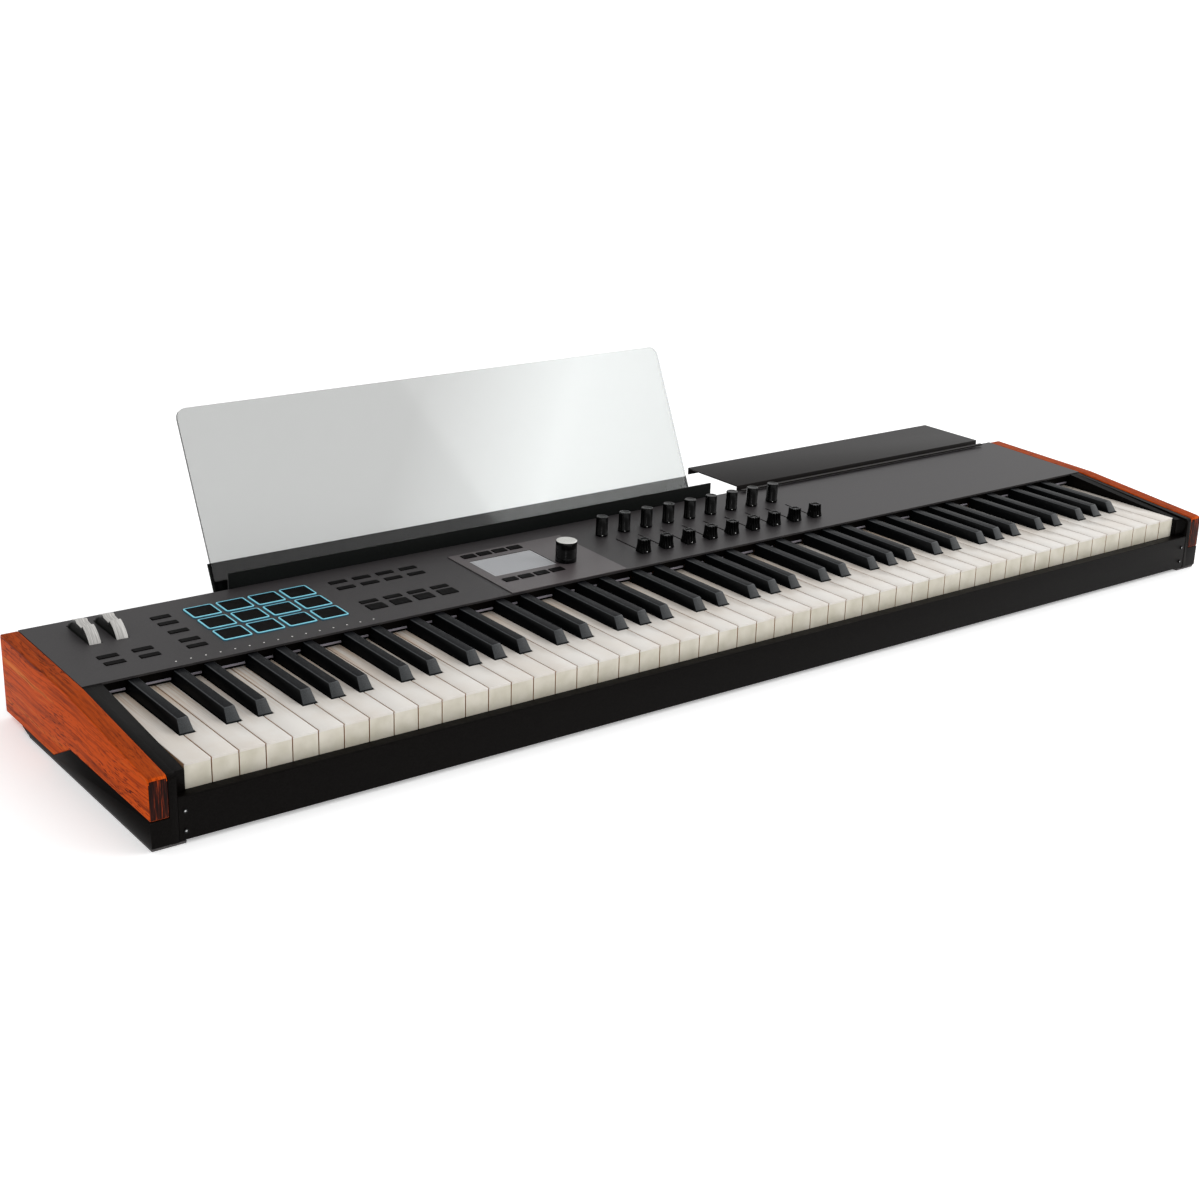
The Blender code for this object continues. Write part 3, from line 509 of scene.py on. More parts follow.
def key_side():
    """Sides of the white keys, seen only in the gaps: a tan brown that is painted shade for the gaps between the keys.
    """
    base = linear(bpy.context.scene.key_look.key_side)
    return toned("key_side_plastic", (90.0,), [(0.3, scaled(base, 0.8)), (0.7, base)], Roughness=0.6)


def ebony():
    """Moulded black key: satin, with a fine grained texture that takes the shine off."""
    look = bpy.context.scene.key_look
    material, tree, shader, where = surface("grained_black_plastic", Roughness=0.30, Specular_IOR_Level=0.05)
    if not tree:
        return material
    base = linear(look.ebony)
    fine = noise(tree, where, 1.0, 3.0, 0.6, (1400, 500, 1400))
    # Painted light: upward faces are lightened, faces between level and upright (the rounded crest edges and the
    # sloping front) get a lighter grey as a painted highlight, and forward faces a grey of their own; the sides stay
    # near black.
    upward = facing(tree, "Z", 0.0, 1.0)
    skin = mix(tree, facing(tree, "Z", 0.6, 0.95), base, linear("#1A1B1D"))
    edge = ramp(tree, upward, [
        (0.35, grey(0.0)), (0.55, grey(1.0)), (0.85, grey(1.0)), (0.96, grey(0.0))])
    skin = mix(tree, edge, skin, linear("#3A3D40"))
    skin = mix(tree, facing(tree, "Y", -0.5, -0.9), skin, linear("#26292A"))
    worn = ramp(tree, fine, [(0.4, grey(0.6)), (0.7, grey(1.5))])
    tree.links.new(shader.inputs["Base Color"], mix(tree, 1.0, skin, worn, "MULTIPLY"))
    # The upper edges are polished.
    tree.links.new(shader.inputs["Specular IOR Level"], ramp(tree, upward, [
        (0.10, grey(0.0)), (0.28, grey(0.05)), (0.45, grey(0.45)), (0.85, grey(0.45)), (0.97, grey(0.04))]))
    bump(tree, shader, fine, 0.00005, 0.5)
    return material


def rubber():
    """Black silicone of the buttons and the pads."""
    return speckled("moulded_black_silicone", "#060505", 0.55, 0.04, 0.3, 1500.0)


def strip_rubber():
    """Grey rubber under the end frames."""
    return speckled("grey_foot_rubber", "#4A4747", 0.8, 0.3, 0.2, 700.0)


def gloss():
    """Polished black ABS with a hint of fine scratches."""
    return toned("polished_black_abs", (1.0, 3.0, 0.6, (300, 300, 2500)), greys(0.10, 0.20), "Roughness",
                 Base_Color=linear("#040404"), Specular_IOR_Level=0.16)


def cap_plastic():
    """Satin black ABS of the fader caps and the knobs' tops."""
    return speckled("ribbed_black_abs", "#060606", 0.22, 0.12, 0.25, 1200.0)


def chrome():
    """Chromed plastic of the small studs, which stand in for glints: a painted highlight."""
    return toned("chromed_plastic", (2500.0,), greys(0.08, 0.16), "Roughness",
                 Base_Color=linear("#E6E6E4"), Metallic=1.0)


def brushed_silver():
    """Aluminium cap of the encoder, with fine tool marks."""
    return toned("turned_aluminium", (1.0, 3.0, 0.6, (2600, 500, 900)), greys(0.25, 0.45), "Roughness",
                 lift=(0.00002, 0.4), Base_Color=linear("#D8D7D3"), Metallic=1.0)


def silver_paint():
    """Silver-lacquered ABS of the wheel faces."""
    return toned("silver_lacquered_abs", (1.0, 2.0, 0.5, (1500, 60, 60)), shades("#A09E9B", "#D2D0CC"),
                 lift=(0.00004, 0.4), Metallic=0.35, Roughness=0.42)


def wheel_side():
    """Dark ABS of the wheels' flanks."""
    return speckled("dark_wheel_abs", "#20211F", 0.4, 0.4)


def felt():
    """Pressed wool felt behind the keys, greyish purple and fibrous."""
    return toned("pressed_wool_felt", (1.0, 5.0, 0.7, (700, 1500, 1500)), shades("#77727C", "#A39EA8"),
                 lift=(0.0003, 0.8), Roughness=0.95, Sheen_Weight=0.3)


def acrylic():
    """Cast acrylic sheet, clear with a faint grey cast, polished on its faces."""
    material, tree, shader, where = surface(
        "cast_acrylic_sheet", Transmission_Weight=1.0, IOR=1.49, Specular_IOR_Level=0.12)
    if tree:
        haze = noise(tree, where, 3.0, 2.0)
        tree.links.new(shader.inputs["Roughness"], ramp(tree, haze, [(0.3, grey(0.02)), (0.7, grey(0.05))]))
        # Painted reflection: the base colour is darkest towards the left end of the sheet, palest in between, and a
        # little darker again at the right.
        turned = add(tree, "ShaderNodeMapping", {"Rotation": (0, radians(-35), 0)}, Vector=where)
        along = add(tree, "ShaderNodeSeparateXYZ", i0=turned.outputs[0]).outputs["X"]
        cast = add(tree, "ShaderNodeMapRange", {1: -0.25, 2: 0.12}, i0=along).outputs[0]
        tree.links.new(shader.inputs["Base Color"],
                       ramp(tree, cast, [
                           (0.0, linear("#B5B6B5")), (0.45, linear("#D6D9D8")), (1.0, linear("#C8CBCA"))]))
    return material


def pad_light():
    """Upper rim of the light guide round a pad, lit from below."""
    lit = linear(bpy.context.scene.body_look.light_line)
    return toned("lit_light_guide", (160.0, 2.0), [(0.3, scaled(lit, 0.7)), (0.7, lit)],
                 Roughness=0.5, Emission_Strength=0.45, Emission_Color=lit)


def pad_skirt():
    """Wall of the light guide below its rim: deeper blue, hardly lit."""
    return toned("light_guide_wall", (160.0, 2.0), shades("#14384A", "#1D5068"),
                 Roughness=0.4, Emission_Strength=0.12, Emission_Color=linear("#3C93B4"))


def screen_glass():
    """Liquid crystal screen behind hard-coated glass, switched off: a plain pale grey."""
    return toned("coated_screen_glass", (1.0, 1.0, 0.5, (2500, 2500, 1)), shades("#98999C", "#A0A1A4"),
                 Roughness=0.12, Specular_IOR_Level=0.5)


def bezel_paint():
    """Light grey paint behind the edge of the screen's glass."""
    return speckled("light_grey_bezel_paint", "#A2A3A5", 0.35, 0.4, 0.04)


def print_ink():
    """White ink, slightly worn."""
    return toned("screen_print_ink", (2500.0,), shades("#D2D0CD", "#F0EEEB"), Roughness=0.6)


def board():
    """Green solder mask over copper tracks."""
    return toned("solder_masked_fibreglass", (240.0, 1.0), [(0.45, linear("#0F4A2A")), (0.5, linear("#1F6B3C"))],
                 Roughness=0.4)


def zinc():
    """Zinc-plated steel in the screws' sockets."""
    return toned("zinc_plated_steel", (1200.0,), greys(0.25, 0.4), "Roughness",
                 Base_Color=linear("#B9BABB"), Metallic=1.0)


# ---- keys

def step_of(white):
    return (white + FIRST_WHITE_STEP) % 7


def has_black(white):
    """Whether a black key follows this white key."""
    return 0 <= white < WHITE_COUNT - 1 and step_of(white) in BLACK_OFFSET


def boundary(white):
    return (white - WHITE_COUNT / 2) * KEY_PITCH


def black_centre(white):
    return boundary(white + 1) + BLACK_OFFSET[step_of(white)]


def white_key(white):
    """One white key: a lipped head and a tail that is cut away beside the black keys."""
    edge = bpy.context.scene.key_look.white_edge
    left = boundary(white) + WHITE_GAP / 2
    right = boundary(white + 1) - WHITE_GAP / 2
    tail_left = black_centre(white - 1) + BLACK_HOLE if has_black(white - 1) else left
    tail_right = black_centre(white) - BLACK_HOLE if has_black(white) else right
    notch = KEY_FRONT + NOTCH
    obj = block("white_key", (left, KEY_FRONT, WHITE_BOTTOM), (right, notch, WHITE_TOP))
    edit(obj)
    for cut, wanted in ((tail_left, left), (tail_right, right)):
        if cut != wanted:
            cut_across(0, cut)
    pick("FACE", lambda f: f.normal.y > 0.9 and tail_left < f.calc_center_median().x < tail_right)
    pull(0, KEY_REAR - notch, 0)
    # The head's upper edge overhangs its front as a thin lip.
    lip = WHITE_TOP - LIP
    cut_across(2, lip)
    pick("FACE", lambda f: f.normal.y < -0.9 and f.calc_center_median().z < lip)
    bpy.ops.transform.translate(value=(0, 0.0009, 0))
    front = KEY_FRONT + 0.001
    round_edges(lambda e: (len(e.link_faces) == 2 and foot_of(e) > lip - 0.0001 and e.calc_face_angle(0) > SQUARE
                           and not (abs(run(e).z) > 0.5 and middle(e).y > front)), edge, 2)
    pick("FACE", lambda f: abs(f.normal.x) > 0.99)
    coat(obj, ivory(), key_side())
    pick("FACE", lambda f: f.normal.y < -0.9 and f.calc_center_median().z < lip + 0.0004)
    coat(obj, shaded_ivory_front())
    done()
    return obj


def black_key():
    """A black key about x = 0: tapered body on a thin flange, leaning front, rounded crest."""
    edge = bpy.context.scene.key_look.black_edge
    low, flange = WHITE_TOP - 0.0045, WHITE_TOP + 0.0006
    obj = block("black_key", (-BLACK_HALF, BLACK_FRONT, low), (BLACK_HALF, BLACK_REAR, flange))
    edit(obj)
    pick_level(1)
    inset(BLACK_FLANGE)
    pull(0, 0, BLACK_RISE)
    rear = BLACK_REAR - BLACK_FLANGE
    squeeze(BLACK_CREST / (BLACK_HALF - BLACK_FLANGE), 1, (0, rear, 0))
    crest = flange + BLACK_RISE - 0.0012
    slope_end = BLACK_FRONT + BLACK_SLOPE + 0.0007
    pick("EDGE", lambda e: middle(e).z > crest and middle(e).y < slope_end)
    bpy.ops.transform.translate(value=(0, BLACK_SLOPE, 0))
    round_edges(lambda e: foot_of(e) > crest and middle(e).y < rear - 0.001, edge, 3)
    round_edges(lambda e: (middle(e).y < slope_end and abs(run(e).z) > 0.6
                           and foot_of(e) > WHITE_TOP and e.calc_face_angle(0) > SQUARE), 0.0006, 2)
    done()
    obj.data.materials.append(ebony())
    return obj


def key_groups(colour_name, single):
    """The white keys at or before the keys of each node: two joined groups and an octave of single ones."""
    groups = {colour_name + "_keys_low": range(SINGLE_FIRST),
              colour_name + "_keys_high": range(SINGLE_LAST + 1, WHITE_COUNT)}
    for note, white in zip(NOTES, range(SINGLE_FIRST, SINGLE_LAST + 1)):
        groups[single % tuple(note)] = [white]
    return groups


class SYNTH_OT_white_keys(bpy.types.Operator):
    """Models the 52 white keys, each octave's shapes once"""
    bl_idname = "synth.white_keys"
    bl_label = "White keys"

    def execute(self, context):
        shapes = {}
        made = {}
        for white in range(WHITE_COUNT):
            kind = (step_of(white), has_black(white - 1), has_black(white))
            if kind not in shapes:
                shapes[kind] = (white, white_key(white))
            first, shape = shapes[kind]
            made[white] = twin(shape, "white_key_%d" % white, ((white - first) * KEY_PITCH, 0, 0))
        drop(*[shape for _, shape in shapes.values()])
        for node, whites in key_groups("white", "key_%s%s").items():
            piece = joined("ivory_" + node, [made[white] for white in whites])
            placed(piece, node, [node], 30)
        return {"FINISHED"}


class SYNTH_OT_black_keys(bpy.types.Operator):
    """Models a black key and copies it to its 36 places"""
    bl_idname = "synth.black_keys"
    bl_label = "Black keys"

    def execute(self, context):
        shape = black_key()
        for node, whites in key_groups("black", "key_%s_sharp%s").items():
            keys = [twin(shape, "black_key_%d" % white, (black_centre(white), 0, 0))
                    for white in whites if has_black(white)]
            if keys:
                placed(joined("ebony_" + node, keys), node, [node], 40)
        drop(shape)
        return {"FINISHED"}


class SYNTH_OT_key_felt(bpy.types.Operator):
    """Lays the strips of felt that show between the black keys"""
    bl_idname = "synth.key_felt"
    bl_label = "Felt strip"

    def execute(self, context):
        ends = [(black_centre(w) - BLACK_HOLE, black_centre(w) + BLACK_HOLE)
                for w in range(WHITE_COUNT) if has_black(w)]
        starts = [boundary(0)] + [right for _, right in ends]
        stops = [left for left, _ in ends] + [boundary(WHITE_COUNT)]
        strips = []
        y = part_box("key_guide_comb")[0].y
        low, high = WHITE_TOP + 0.0024, WHITE_TOP + 0.0042
        for left, right in zip(starts, stops):
            strip = block("felt", (left, y - 0.0012, low), (right, y - 0.0001, high))
            edit(strip)
            round_edges(lambda e: abs(run(e).x) > 0.9 and middle(e).y < y - 0.0005, 0.0003, 2)
            done()
            strips.append(strip)
        piece = joined("key_felt_strip", strips)
        placed(dressed(piece, felt()), "case")
        return {"FINISHED"}


# ---- panel controls

BUTTON = (0.0184, 0.0068)
THICK_BUTTON = (0.0184, 0.0132)
SCREEN_BUTTON = (0.0153, 0.0092)
BUTTON_RISE = 0.0007
BUTTON_GROUPS = {
    "wheel_buttons": [(x, y, BUTTON) for x in (-0.5862, -0.5543) for y in (0.0500, 0.0343)],
    "pad_buttons": [(-0.5104, y, BUTTON) for y in (0.1110, 0.0946, 0.0727, 0.0500, 0.0343)],
    "function_buttons": [(-0.3283 + i * 0.0260, y, size) for i in range(4)
                         for y, size in ((0.1110, BUTTON), (0.0943, BUTTON), (0.0518, BUTTON),
                                         (0.0373, THICK_BUTTON))],
    "screen_buttons": [(-0.1807 + i * 0.0185, y, SCREEN_BUTTON) for i in range(4) for y in (0.1076, 0.0325)],
}


def moulded_cap(x, y, top, corner, rim):
    """A cap about the origin, from its half sizes: rounded corners and a soft upper edge."""
    obj = block("cap", (-x, -y, -0.0035), (x, y, top))
    edit(obj)
    round_edges(lambda e: abs(run(e).z) > 0.9, corner, 3)
    round_edges(lambda e: middle(e).z > top - 0.0001, 0.0004, 2)
    pick_level(1)
    inset(rim, -0.0001)
    done()
    return obj


class SYNTH_OT_buttons(bpy.types.Operator):
    """Models one cap of each size and copies it to the button groups"""
    bl_idname = "synth.buttons"
    bl_label = "Buttons"

    def execute(self, context):
        for node, buttons in BUTTON_GROUPS.items():
            top = BUTTON_RISE + (PLATE if node == "screen_buttons" else 0)
            shapes = {}
            caps = []
            for x, y, size in buttons:
                if size not in shapes:
                    shapes[size] = moulded_cap(size[0] / 2, size[1] / 2, top, 0.0012, 0.0006)
                caps.append(twin(shapes[size], "cap", (x, y, 0)))
            drop(*shapes.values())
            piece = onto_panel(joined("moulded_" + node, caps))
            placed(dressed(piece, rubber()), node, [node])
        return {"FINISHED"}


PAD = (0.0255, 0.0230)
PAD_TOP = 0.0009
PAD_RIM = 0.0015  # width of the lit rim round a pad
PAD_PLACES = [(-0.4722 + i * 0.0325, 0.0435 + j * 0.0306) for i in range(4) for j in range(3)]


class SYNTH_OT_pads(bpy.types.Operator):
    """Models a drum pad and its lit frame and copies them to the grid"""
    bl_idname = "synth.pads"
    bl_label = "Drum pads"

    def execute(self, context):
        pad = moulded_cap(PAD[0] / 2 - 0.0001, PAD[1] / 2 - 0.0001, PAD_TOP, 0.0016, 0.0010)
        outer_x, outer_y = PAD[0] / 2 + PAD_RIM, PAD[1] / 2 + PAD_RIM
        ring = block("ring", (-outer_x, -outer_y, -0.0015), (outer_x, outer_y, PAD_TOP + 0.0003))
        edit(ring)
        round_edges(lambda e: abs(run(e).z) > 0.9, 0.0028, 4)
        for way in (1, -1):
            pick_level(way)
            inset(PAD_RIM)
            bpy.ops.mesh.delete(type="FACE")
        bpy.ops.mesh.select_mode(type="EDGE")
        bpy.ops.mesh.select_all(action="DESELECT")
        bpy.ops.mesh.select_non_manifold()
        bpy.ops.mesh.bridge_edge_loops()
        bpy.ops.mesh.select_all(action="SELECT")
        bpy.ops.mesh.normals_make_consistent(inside=False)
        round_edges(lambda e: (foot_of(e) > PAD_TOP and max(abs(middle(e).x) - outer_x,
                    abs(middle(e).y) - outer_y) > -0.0009 and e.calc_face_angle(0) > SQUARE), 0.0004, 2)
        pick("FACE", lambda f: abs(f.normal.z) < 0.2)
        coat(ring, pad_light(), pad_skirt())
        done()
        pads, rings = [[twin(shape, shape.name, (x, y, 0)) for x, y in PAD_PLACES] for shape in (pad, ring)]
        drop(pad, ring)
        piece = onto_panel(joined("silicone_drum_pads", pads))
        placed(dressed(piece, rubber()), "drum_pads", ["drum_pads"])
        placed(onto_panel(joined("pad_light_frames", rings)), "case")
        return {"FINISHED"}


class SYNTH_OT_print(bpy.types.Operator):
    """Adds the row of small printed marks under the pads"""
    bl_idname = "synth.print"
    bl_label = "Printed marks"

    def execute(self, context):
        marks = []
        first, pitch, count = -0.5413, 0.01388, 15
        for i in range(count):
            mark = drum("mark", (first + i * pitch, 0.0104, 0.0), 0.0008, 0.0004, 10)
            edit(mark)
            round_edges(lambda e: middle(e).z > 0.0001 and abs(run(e).z) < 0.1, 0.0001, 1)
            done()
            marks.append(mark)
        piece = onto_panel(joined("printed_marks", marks))
        placed(dressed(piece, print_ink()), "case")
        return {"FINISHED"}


def shaft_below(radius):
    """Draws a shaft down from the underside of a round cap of this radius, and leaves edit mode."""
    pick_level(-1)
    inset(radius - 0.0033)
    pull(0, 0, -0.006)
    done()


def aimed(obj, centre, normal):
    """Stands the piece on a surface with this normal."""
    obj.rotation_euler = Vector(normal).to_track_quat("Z", "Y").to_euler()
    obj.location = centre
    return fix_place(obj)


def knob_piece(radius, height, foot, sides):
    """A round cap about the origin: slightly tapered, on a low flange, a shaft below."""
    obj = drum("knob", (0, 0, (height + foot) / 2), radius, height - foot, sides)
    edit(obj)
    for level in (foot + 0.0020, foot + 0.0025):
        cut_across(2, level)
    pick("EDGE", lambda e: foot_of(e) > foot + 0.0022)
    squeeze(0.94, 0.94)
    round_edges(lambda e: middle(e).z > height - 0.0001, 0.0008, 3)
    pick_level(1)
    inset(0.0009, -0.0004)
    coat(obj, gloss(), cap_plastic())
    round_edges(lambda e: middle(e).z < foot + 0.0001, 0.0003, 2)
    shaft_below(radius)
    return obj


def dot(centre, radius, height, normal):
    """A small domed stud standing on a surface."""
    bpy.ops.object.select_all(action="DESELECT")
    bpy.ops.mesh.primitive_uv_sphere_add(segments=10, ring_count=6, radius=radius)
    obj = bpy.context.object
    obj.scale = (1, 1, height / radius)
    return aimed(obj, centre, normal)


CONTROL_PITCH = 0.0298
# The studs are painted highlights: they put a glint where the flange of a knob or the foot of a fader cap catches the
# light, turned towards the camera's side.
TO_PLAYER = Vector((-0.5, -0.866, 0))  # the studs face this way


def row_of_nine(shape, node, word, start, y, angle):
    """Copies a control along the panel, each copy for its own node."""
    for i in range(9):
        name = "%s_%d" % (node, i + 1)
        piece = onto_panel(twin(shape, word + name, (start + i * CONTROL_PITCH, y, 0)))
        placed(piece, name, [name], angle)
    drop(shape)


class SYNTH_OT_knobs(bpy.types.Operator):
    """Models a rotary knob with a chromed stud that paints the glint on its flange, and copies it nine times"""
    bl_idname = "synth.knobs"
    bl_label = "Knobs"

    def execute(self, context):
        knob = knob_piece(radius=0.0067, height=0.0213, foot=0.0006, sides=32)
        # A chromed stud at the flange: a painted glint.
        stud = dressed(dot(TO_PLAYER * 0.0066 + Vector((0, 0, 0.0017)), 0.0006, 0.0004, TO_PLAYER), chrome())
        shape = joined("knob", [knob, stud])
        row_of_nine(shape, "knob", "polished_", start=-0.0220, y=0.0965, angle=40)
        return {"FINISHED"}


class SYNTH_OT_encoder(bpy.types.Operator):
    """Models the menu encoder: grooved black barrel under a turned aluminium disc"""
    bl_idname = "synth.encoder"
    bl_label = "Encoder"

    def execute(self, context):
        radius, top, foot = 0.0108, 0.0218 + PLATE, PLATE + 0.0006
        obj = drum("encoder", (0, 0, (top + foot) / 2), radius, top - foot, 64)
        edit(obj)
        # Narrow grooves run round the barrel.
        first, pitch, count = foot + 0.0045, 0.0007, 15
        for ring in range(count):
            cut_across(2, first + ring * pitch)
        pick("EDGE", lambda e: (abs(run(e).z) < 0.1 and first - 0.0001 < middle(e).z < first + count * pitch
                                and round((middle(e).z - first) / pitch) % 2 == 1))
        squeeze(0.975, 0.975)
        round_edges(lambda e: middle(e).z > top - 0.0001, 0.0006, 2)
        pick_level(1)
        inset(0.0003, 0.0002)
        pick("FACE", lambda f: f.calc_center_median().z > top - 0.0007 and f.normal.z > 0.5)
        coat(obj, gloss(), brushed_silver())
        shaft_below(radius)
        obj.data.transform(Matrix.Translation((-0.1023, 0.0490, 0)))
        obj.name = "grooved_encoder"
        placed(onto_panel(obj), "menu_encoder", ["menu_encoder"], 25)
        return {"FINISHED"}


class SYNTH_OT_faders(bpy.types.Operator):
    """Models a ribbed fader cap on its stem and copies it nine times"""
    bl_idname = "synth.faders"
    bl_label = "Faders"

    def execute(self, context):
        low, high = 0.0006, 0.0145
        halves = (0.0058, 0.0060)
        cap = block("cap", (-halves[0], -halves[1], low), (*halves, high))
        edit(cap)
        # Upright ribs all round: the box is cut into strips, and every second one is pushed in.
        for axis, half in enumerate(halves):
            for cut in range(1, 7):
                cut_across(axis, half * (cut / 3.5 - 1))
            pick("FACE", lambda f: (abs(f.normal[1 - axis]) > 0.9
                                    and round((f.calc_center_median()[axis] / half + 1) * 3.5 - 0.5) % 2 == 1))
            bpy.ops.mesh.inset(thickness=0.00015, depth=-0.0004, use_individual=True)
        pick_level(1)
        squeeze(0.80, 0.58, (0, 0, high))
        inset(0.0007)
        pull(0, 0, -0.0007)
        pick_level(-1)
        inset(0.0042)
        squeeze(0.37, 1.0, (0, 0, low))
        pull(0, 0, -0.005)
        done()
        dressed(cap, cap_plastic())
        # A chromed stud at the front foot of the cap: a painted glint.
        stud = dressed(dot((0, -0.0061, 0.0020), 0.0007, 0.0005, (0, -1, 0)), chrome())
        shape = joined("fader", [cap, stud])
        row_of_nine(shape, "fader_cap", "ribbed_", start=-0.0157, y=0.0327, angle=35)
        return {"FINISHED"}


WHEEL_Y = 0.1071  # axle behind the panel's front edge


class SYNTH_OT_wheels(bpy.types.Operator):
    """Models the two performance wheels: silver rim with a thumb notch, dark sides"""
    bl_idname = "synth.wheels"
    bl_label = "Wheels"

    def execute(self, context):
        radius, width, depth = 0.0292, 0.0112, 0.0153
        # How far the crown is cut down, from the front lobe over the thumb notch to the rear ridge.
        cut = ((-0.0098, 0.0), (-0.0078, 0.0034), (-0.0010, 0.0036), (0.0030, 0.0030),
               (0.0052, 0.0006), (0.0105, 0.0010), (0.0150, 0.0))
        for node, x in (("pitch_wheel", -0.5840), ("mod_wheel", -0.5590)):
            wheel = drum("wheel", (0, 0, 0), radius, width, 128, (0, pi / 2, 0))
            for vert in wheel.data.vertices:
                if vert.co.z > 0:
                    for (near, shallow), (far, deep) in zip(cut, cut[1:]):
                        if near <= vert.co.y < far:
                            vert.co.z -= shallow + (deep - shallow) * (vert.co.y - near) / (far - near)
            edit(wheel)
            round_edges(lambda e: abs(run(e).x) < 0.1 and (middle(e).yz).length > 0.018, 0.0008, 2)
            pick("FACE", lambda f: abs(f.normal.x) > 0.9)
            coat(wheel, silver_paint(), wheel_side())
            inset(0.0022, -0.0006)
            done()
            wheel.data.transform(Matrix.Translation((x, WHEEL_Y, -depth)))
            wheel.name = "lacquered_" + node
            placed(onto_panel(wheel), node, [node])
        return {"FINISHED"}


class SYNTH_OT_display(bpy.types.Operator):
    """Adds the screen's bezel and the active area under the glass"""
    bl_idname = "synth.display"
    bl_label = "Display"

    def execute(self, context):
        low, high = (-0.1887, 0.0468), (-0.1150, 0.0944)
        top = PLATE - 0.0003
        glass = block("screen_window", (low[0], low[1], -0.004), (high[0], high[1], top))
        edit(glass)
        round_edges(lambda e: middle(e).z > top - 0.0001, 0.0003, 2)
        pick_level(1)
        inset(0.0013)
        coat(glass, bezel_paint(), screen_glass())
        done()
        placed(onto_panel(glass), "case", ["display_glass"])
        return {"FINISHED"}


# ---- case pieces

def softened_copy(node, name):
    """A welded copy of a frame node, for a piece whose outline is already right."""
    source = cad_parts[node]
    made = source.copy()
    made.data = source.data.copy()
    made.name = name
    made.parent = None
    made.matrix_world = Matrix.Identity(4)
    for key in list(made.keys()):
        del made[key]
    bpy.context.collection.objects.link(made)
    edit(made)
    bpy.ops.mesh.select_all(action="SELECT")
    bpy.ops.mesh.remove_doubles(threshold=0.00001)
    bpy.ops.mesh.dissolve_limited(angle_limit=radians(0.5))
    done()
    return made


def eased(node, name, width, angle=30):
    """A welded copy of a frame node with its sharp outer edges rounded."""
    piece = softened_copy(node, name)
    edit(piece)
    pick("EDGE", lambda e: (len(e.link_faces) == 2 and e.calc_face_angle_signed(0) > radians(angle)
                            and e.calc_length() > 4 * width))
    bpy.ops.mesh.bevel(offset=width, offset_type="WIDTH", segments=2, affect="EDGES", clamp_overlap=True)
    done()
    return piece


class SYNTH_OT_wooden_ends(bpy.types.Operator):
    """Rounds the two mahogany boards and gives their sawn ends the end grain"""
    bl_idname = "synth.wooden_ends"
    bl_label = "Wooden ends"

    def execute(self, context):
        for side in ("left", "right"):
            node = "wood_panel_" + side
            piece = dressed(eased(node, "mahogany_board_" + side, 0.0012, 12), mahogany())
            edit(piece)
            pick("FACE", lambda f: abs(f.normal.y) > 0.9)
            coat(piece, end_grain())
            done()
            placed(piece, "case", [node], 40)
        return {"FINISHED"}


class SYNTH_OT_case_edges(bpy.types.Operator):
    """Rounds the edges of the castings, the rail and the sheet metal"""
    bl_idname = "synth.case_edges"
    bl_label = "Case edges"

    def execute(self, context):
        for node, word, width, finish, body, slot in (
                ("end_frame_left", "cast_", 0.0012, casting_coat, "case", "black_casting"),
                ("end_frame_right", "cast_", 0.0012, casting_coat, "case", "black_casting"),
                ("front_rail", "folded_", 0.0006, casting_coat, "case", "black_casting"),
                ("music_tray", "folded_", 0.0003, tray_coat, "music_rest", "dark_steel"),
                ("laptop_shelf", "folded_", 0.0003, sheet_coat, "laptop_shelf", "dark_steel")):
            name = word + node
            piece = dressed(eased(node, name, width), finish())
            if node == "laptop_shelf":
                # A hem runs along the front of the shelf, below its edge.
                low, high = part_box(node)
                hem = block("hem", (low.x, low.y - 0.004, high.z - 0.0042), (high.x, low.y + 0.0002, high.z - 0.0026))
                piece = joined(name, [piece, dressed(hem, finish())])
            placed(piece, body, [node], 40)
        return {"FINISHED"}


def screw_head(centre, radius, normal):
    """A domed black head whose socket shows bright metal."""
    obj = drum("screw", (0, 0, 0.0003), radius, 0.0012, 20)
    edit(obj)
    round_edges(lambda e: middle(e).z > 0.0008, 0.0005, 3)
    pick_level(1)
    inset(radius * 0.28)
    inset(radius * 0.08, -0.0003)
    coat(obj, gloss(), zinc())
    done()
    return aimed(obj, centre, normal)


class SYNTH_OT_screws(bpy.types.Operator):
    """Adds the screws of the front rail and of the rear wall"""
    bl_idname = "synth.screws"
    bl_label = "Screws"

    def execute(self, context):
        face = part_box("front_rail")[0].y
        heads = [screw_head((side * 0.617, face, z), 0.0021, (0, -1, 0)) for side in (-1, 1) for z in (0.0285, 0.0115)]
        placed(joined("rail_screws", heads), "case")
        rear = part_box("bottom_case")[1].y
        heads = [screw_head((-0.58 + i * 0.145, rear, 0.0200), 0.0024, (0, 1, 0)) for i in range(9)]
        placed(joined("rear_screws", heads), "case")
        return {"FINISHED"}


class SYNTH_OT_music_rest(bpy.types.Operator):
    """Polishes the clear sheet"""
    bl_idname = "synth.music_rest"
    bl_label = "Music rest"

    def execute(self, context):
        piece = softened_copy("music_rest_panel", "clear_music_rest")
        placed(dressed(piece, acrylic()), "music_rest", ["music_rest_panel"], 40)
        return {"FINISHED"}


class SYNTH_OT_finishes(bpy.types.Operator):
    """Gives every frame node that stays visible its finish"""
    bl_idname = "synth.finishes"
    bl_label = "Finishes"

    def execute(self, context):
        finishes = {
            casting_coat: ("key_guide_comb", "bottom_case"),
            sheet_coat: ("keybed_chassis", "wheel_bracket"),
            strip_rubber: ("foot_strip_left", "foot_strip_right"),
            panel_coat: ("top_panel",),
            plate_coat: ("display_plate",),
            board: ("circuit_board",),
        }
        for finish, nodes in finishes.items():
            for node in nodes:
                dressed(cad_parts[node], finish())
        return {"FINISHED"}


# ---- studio

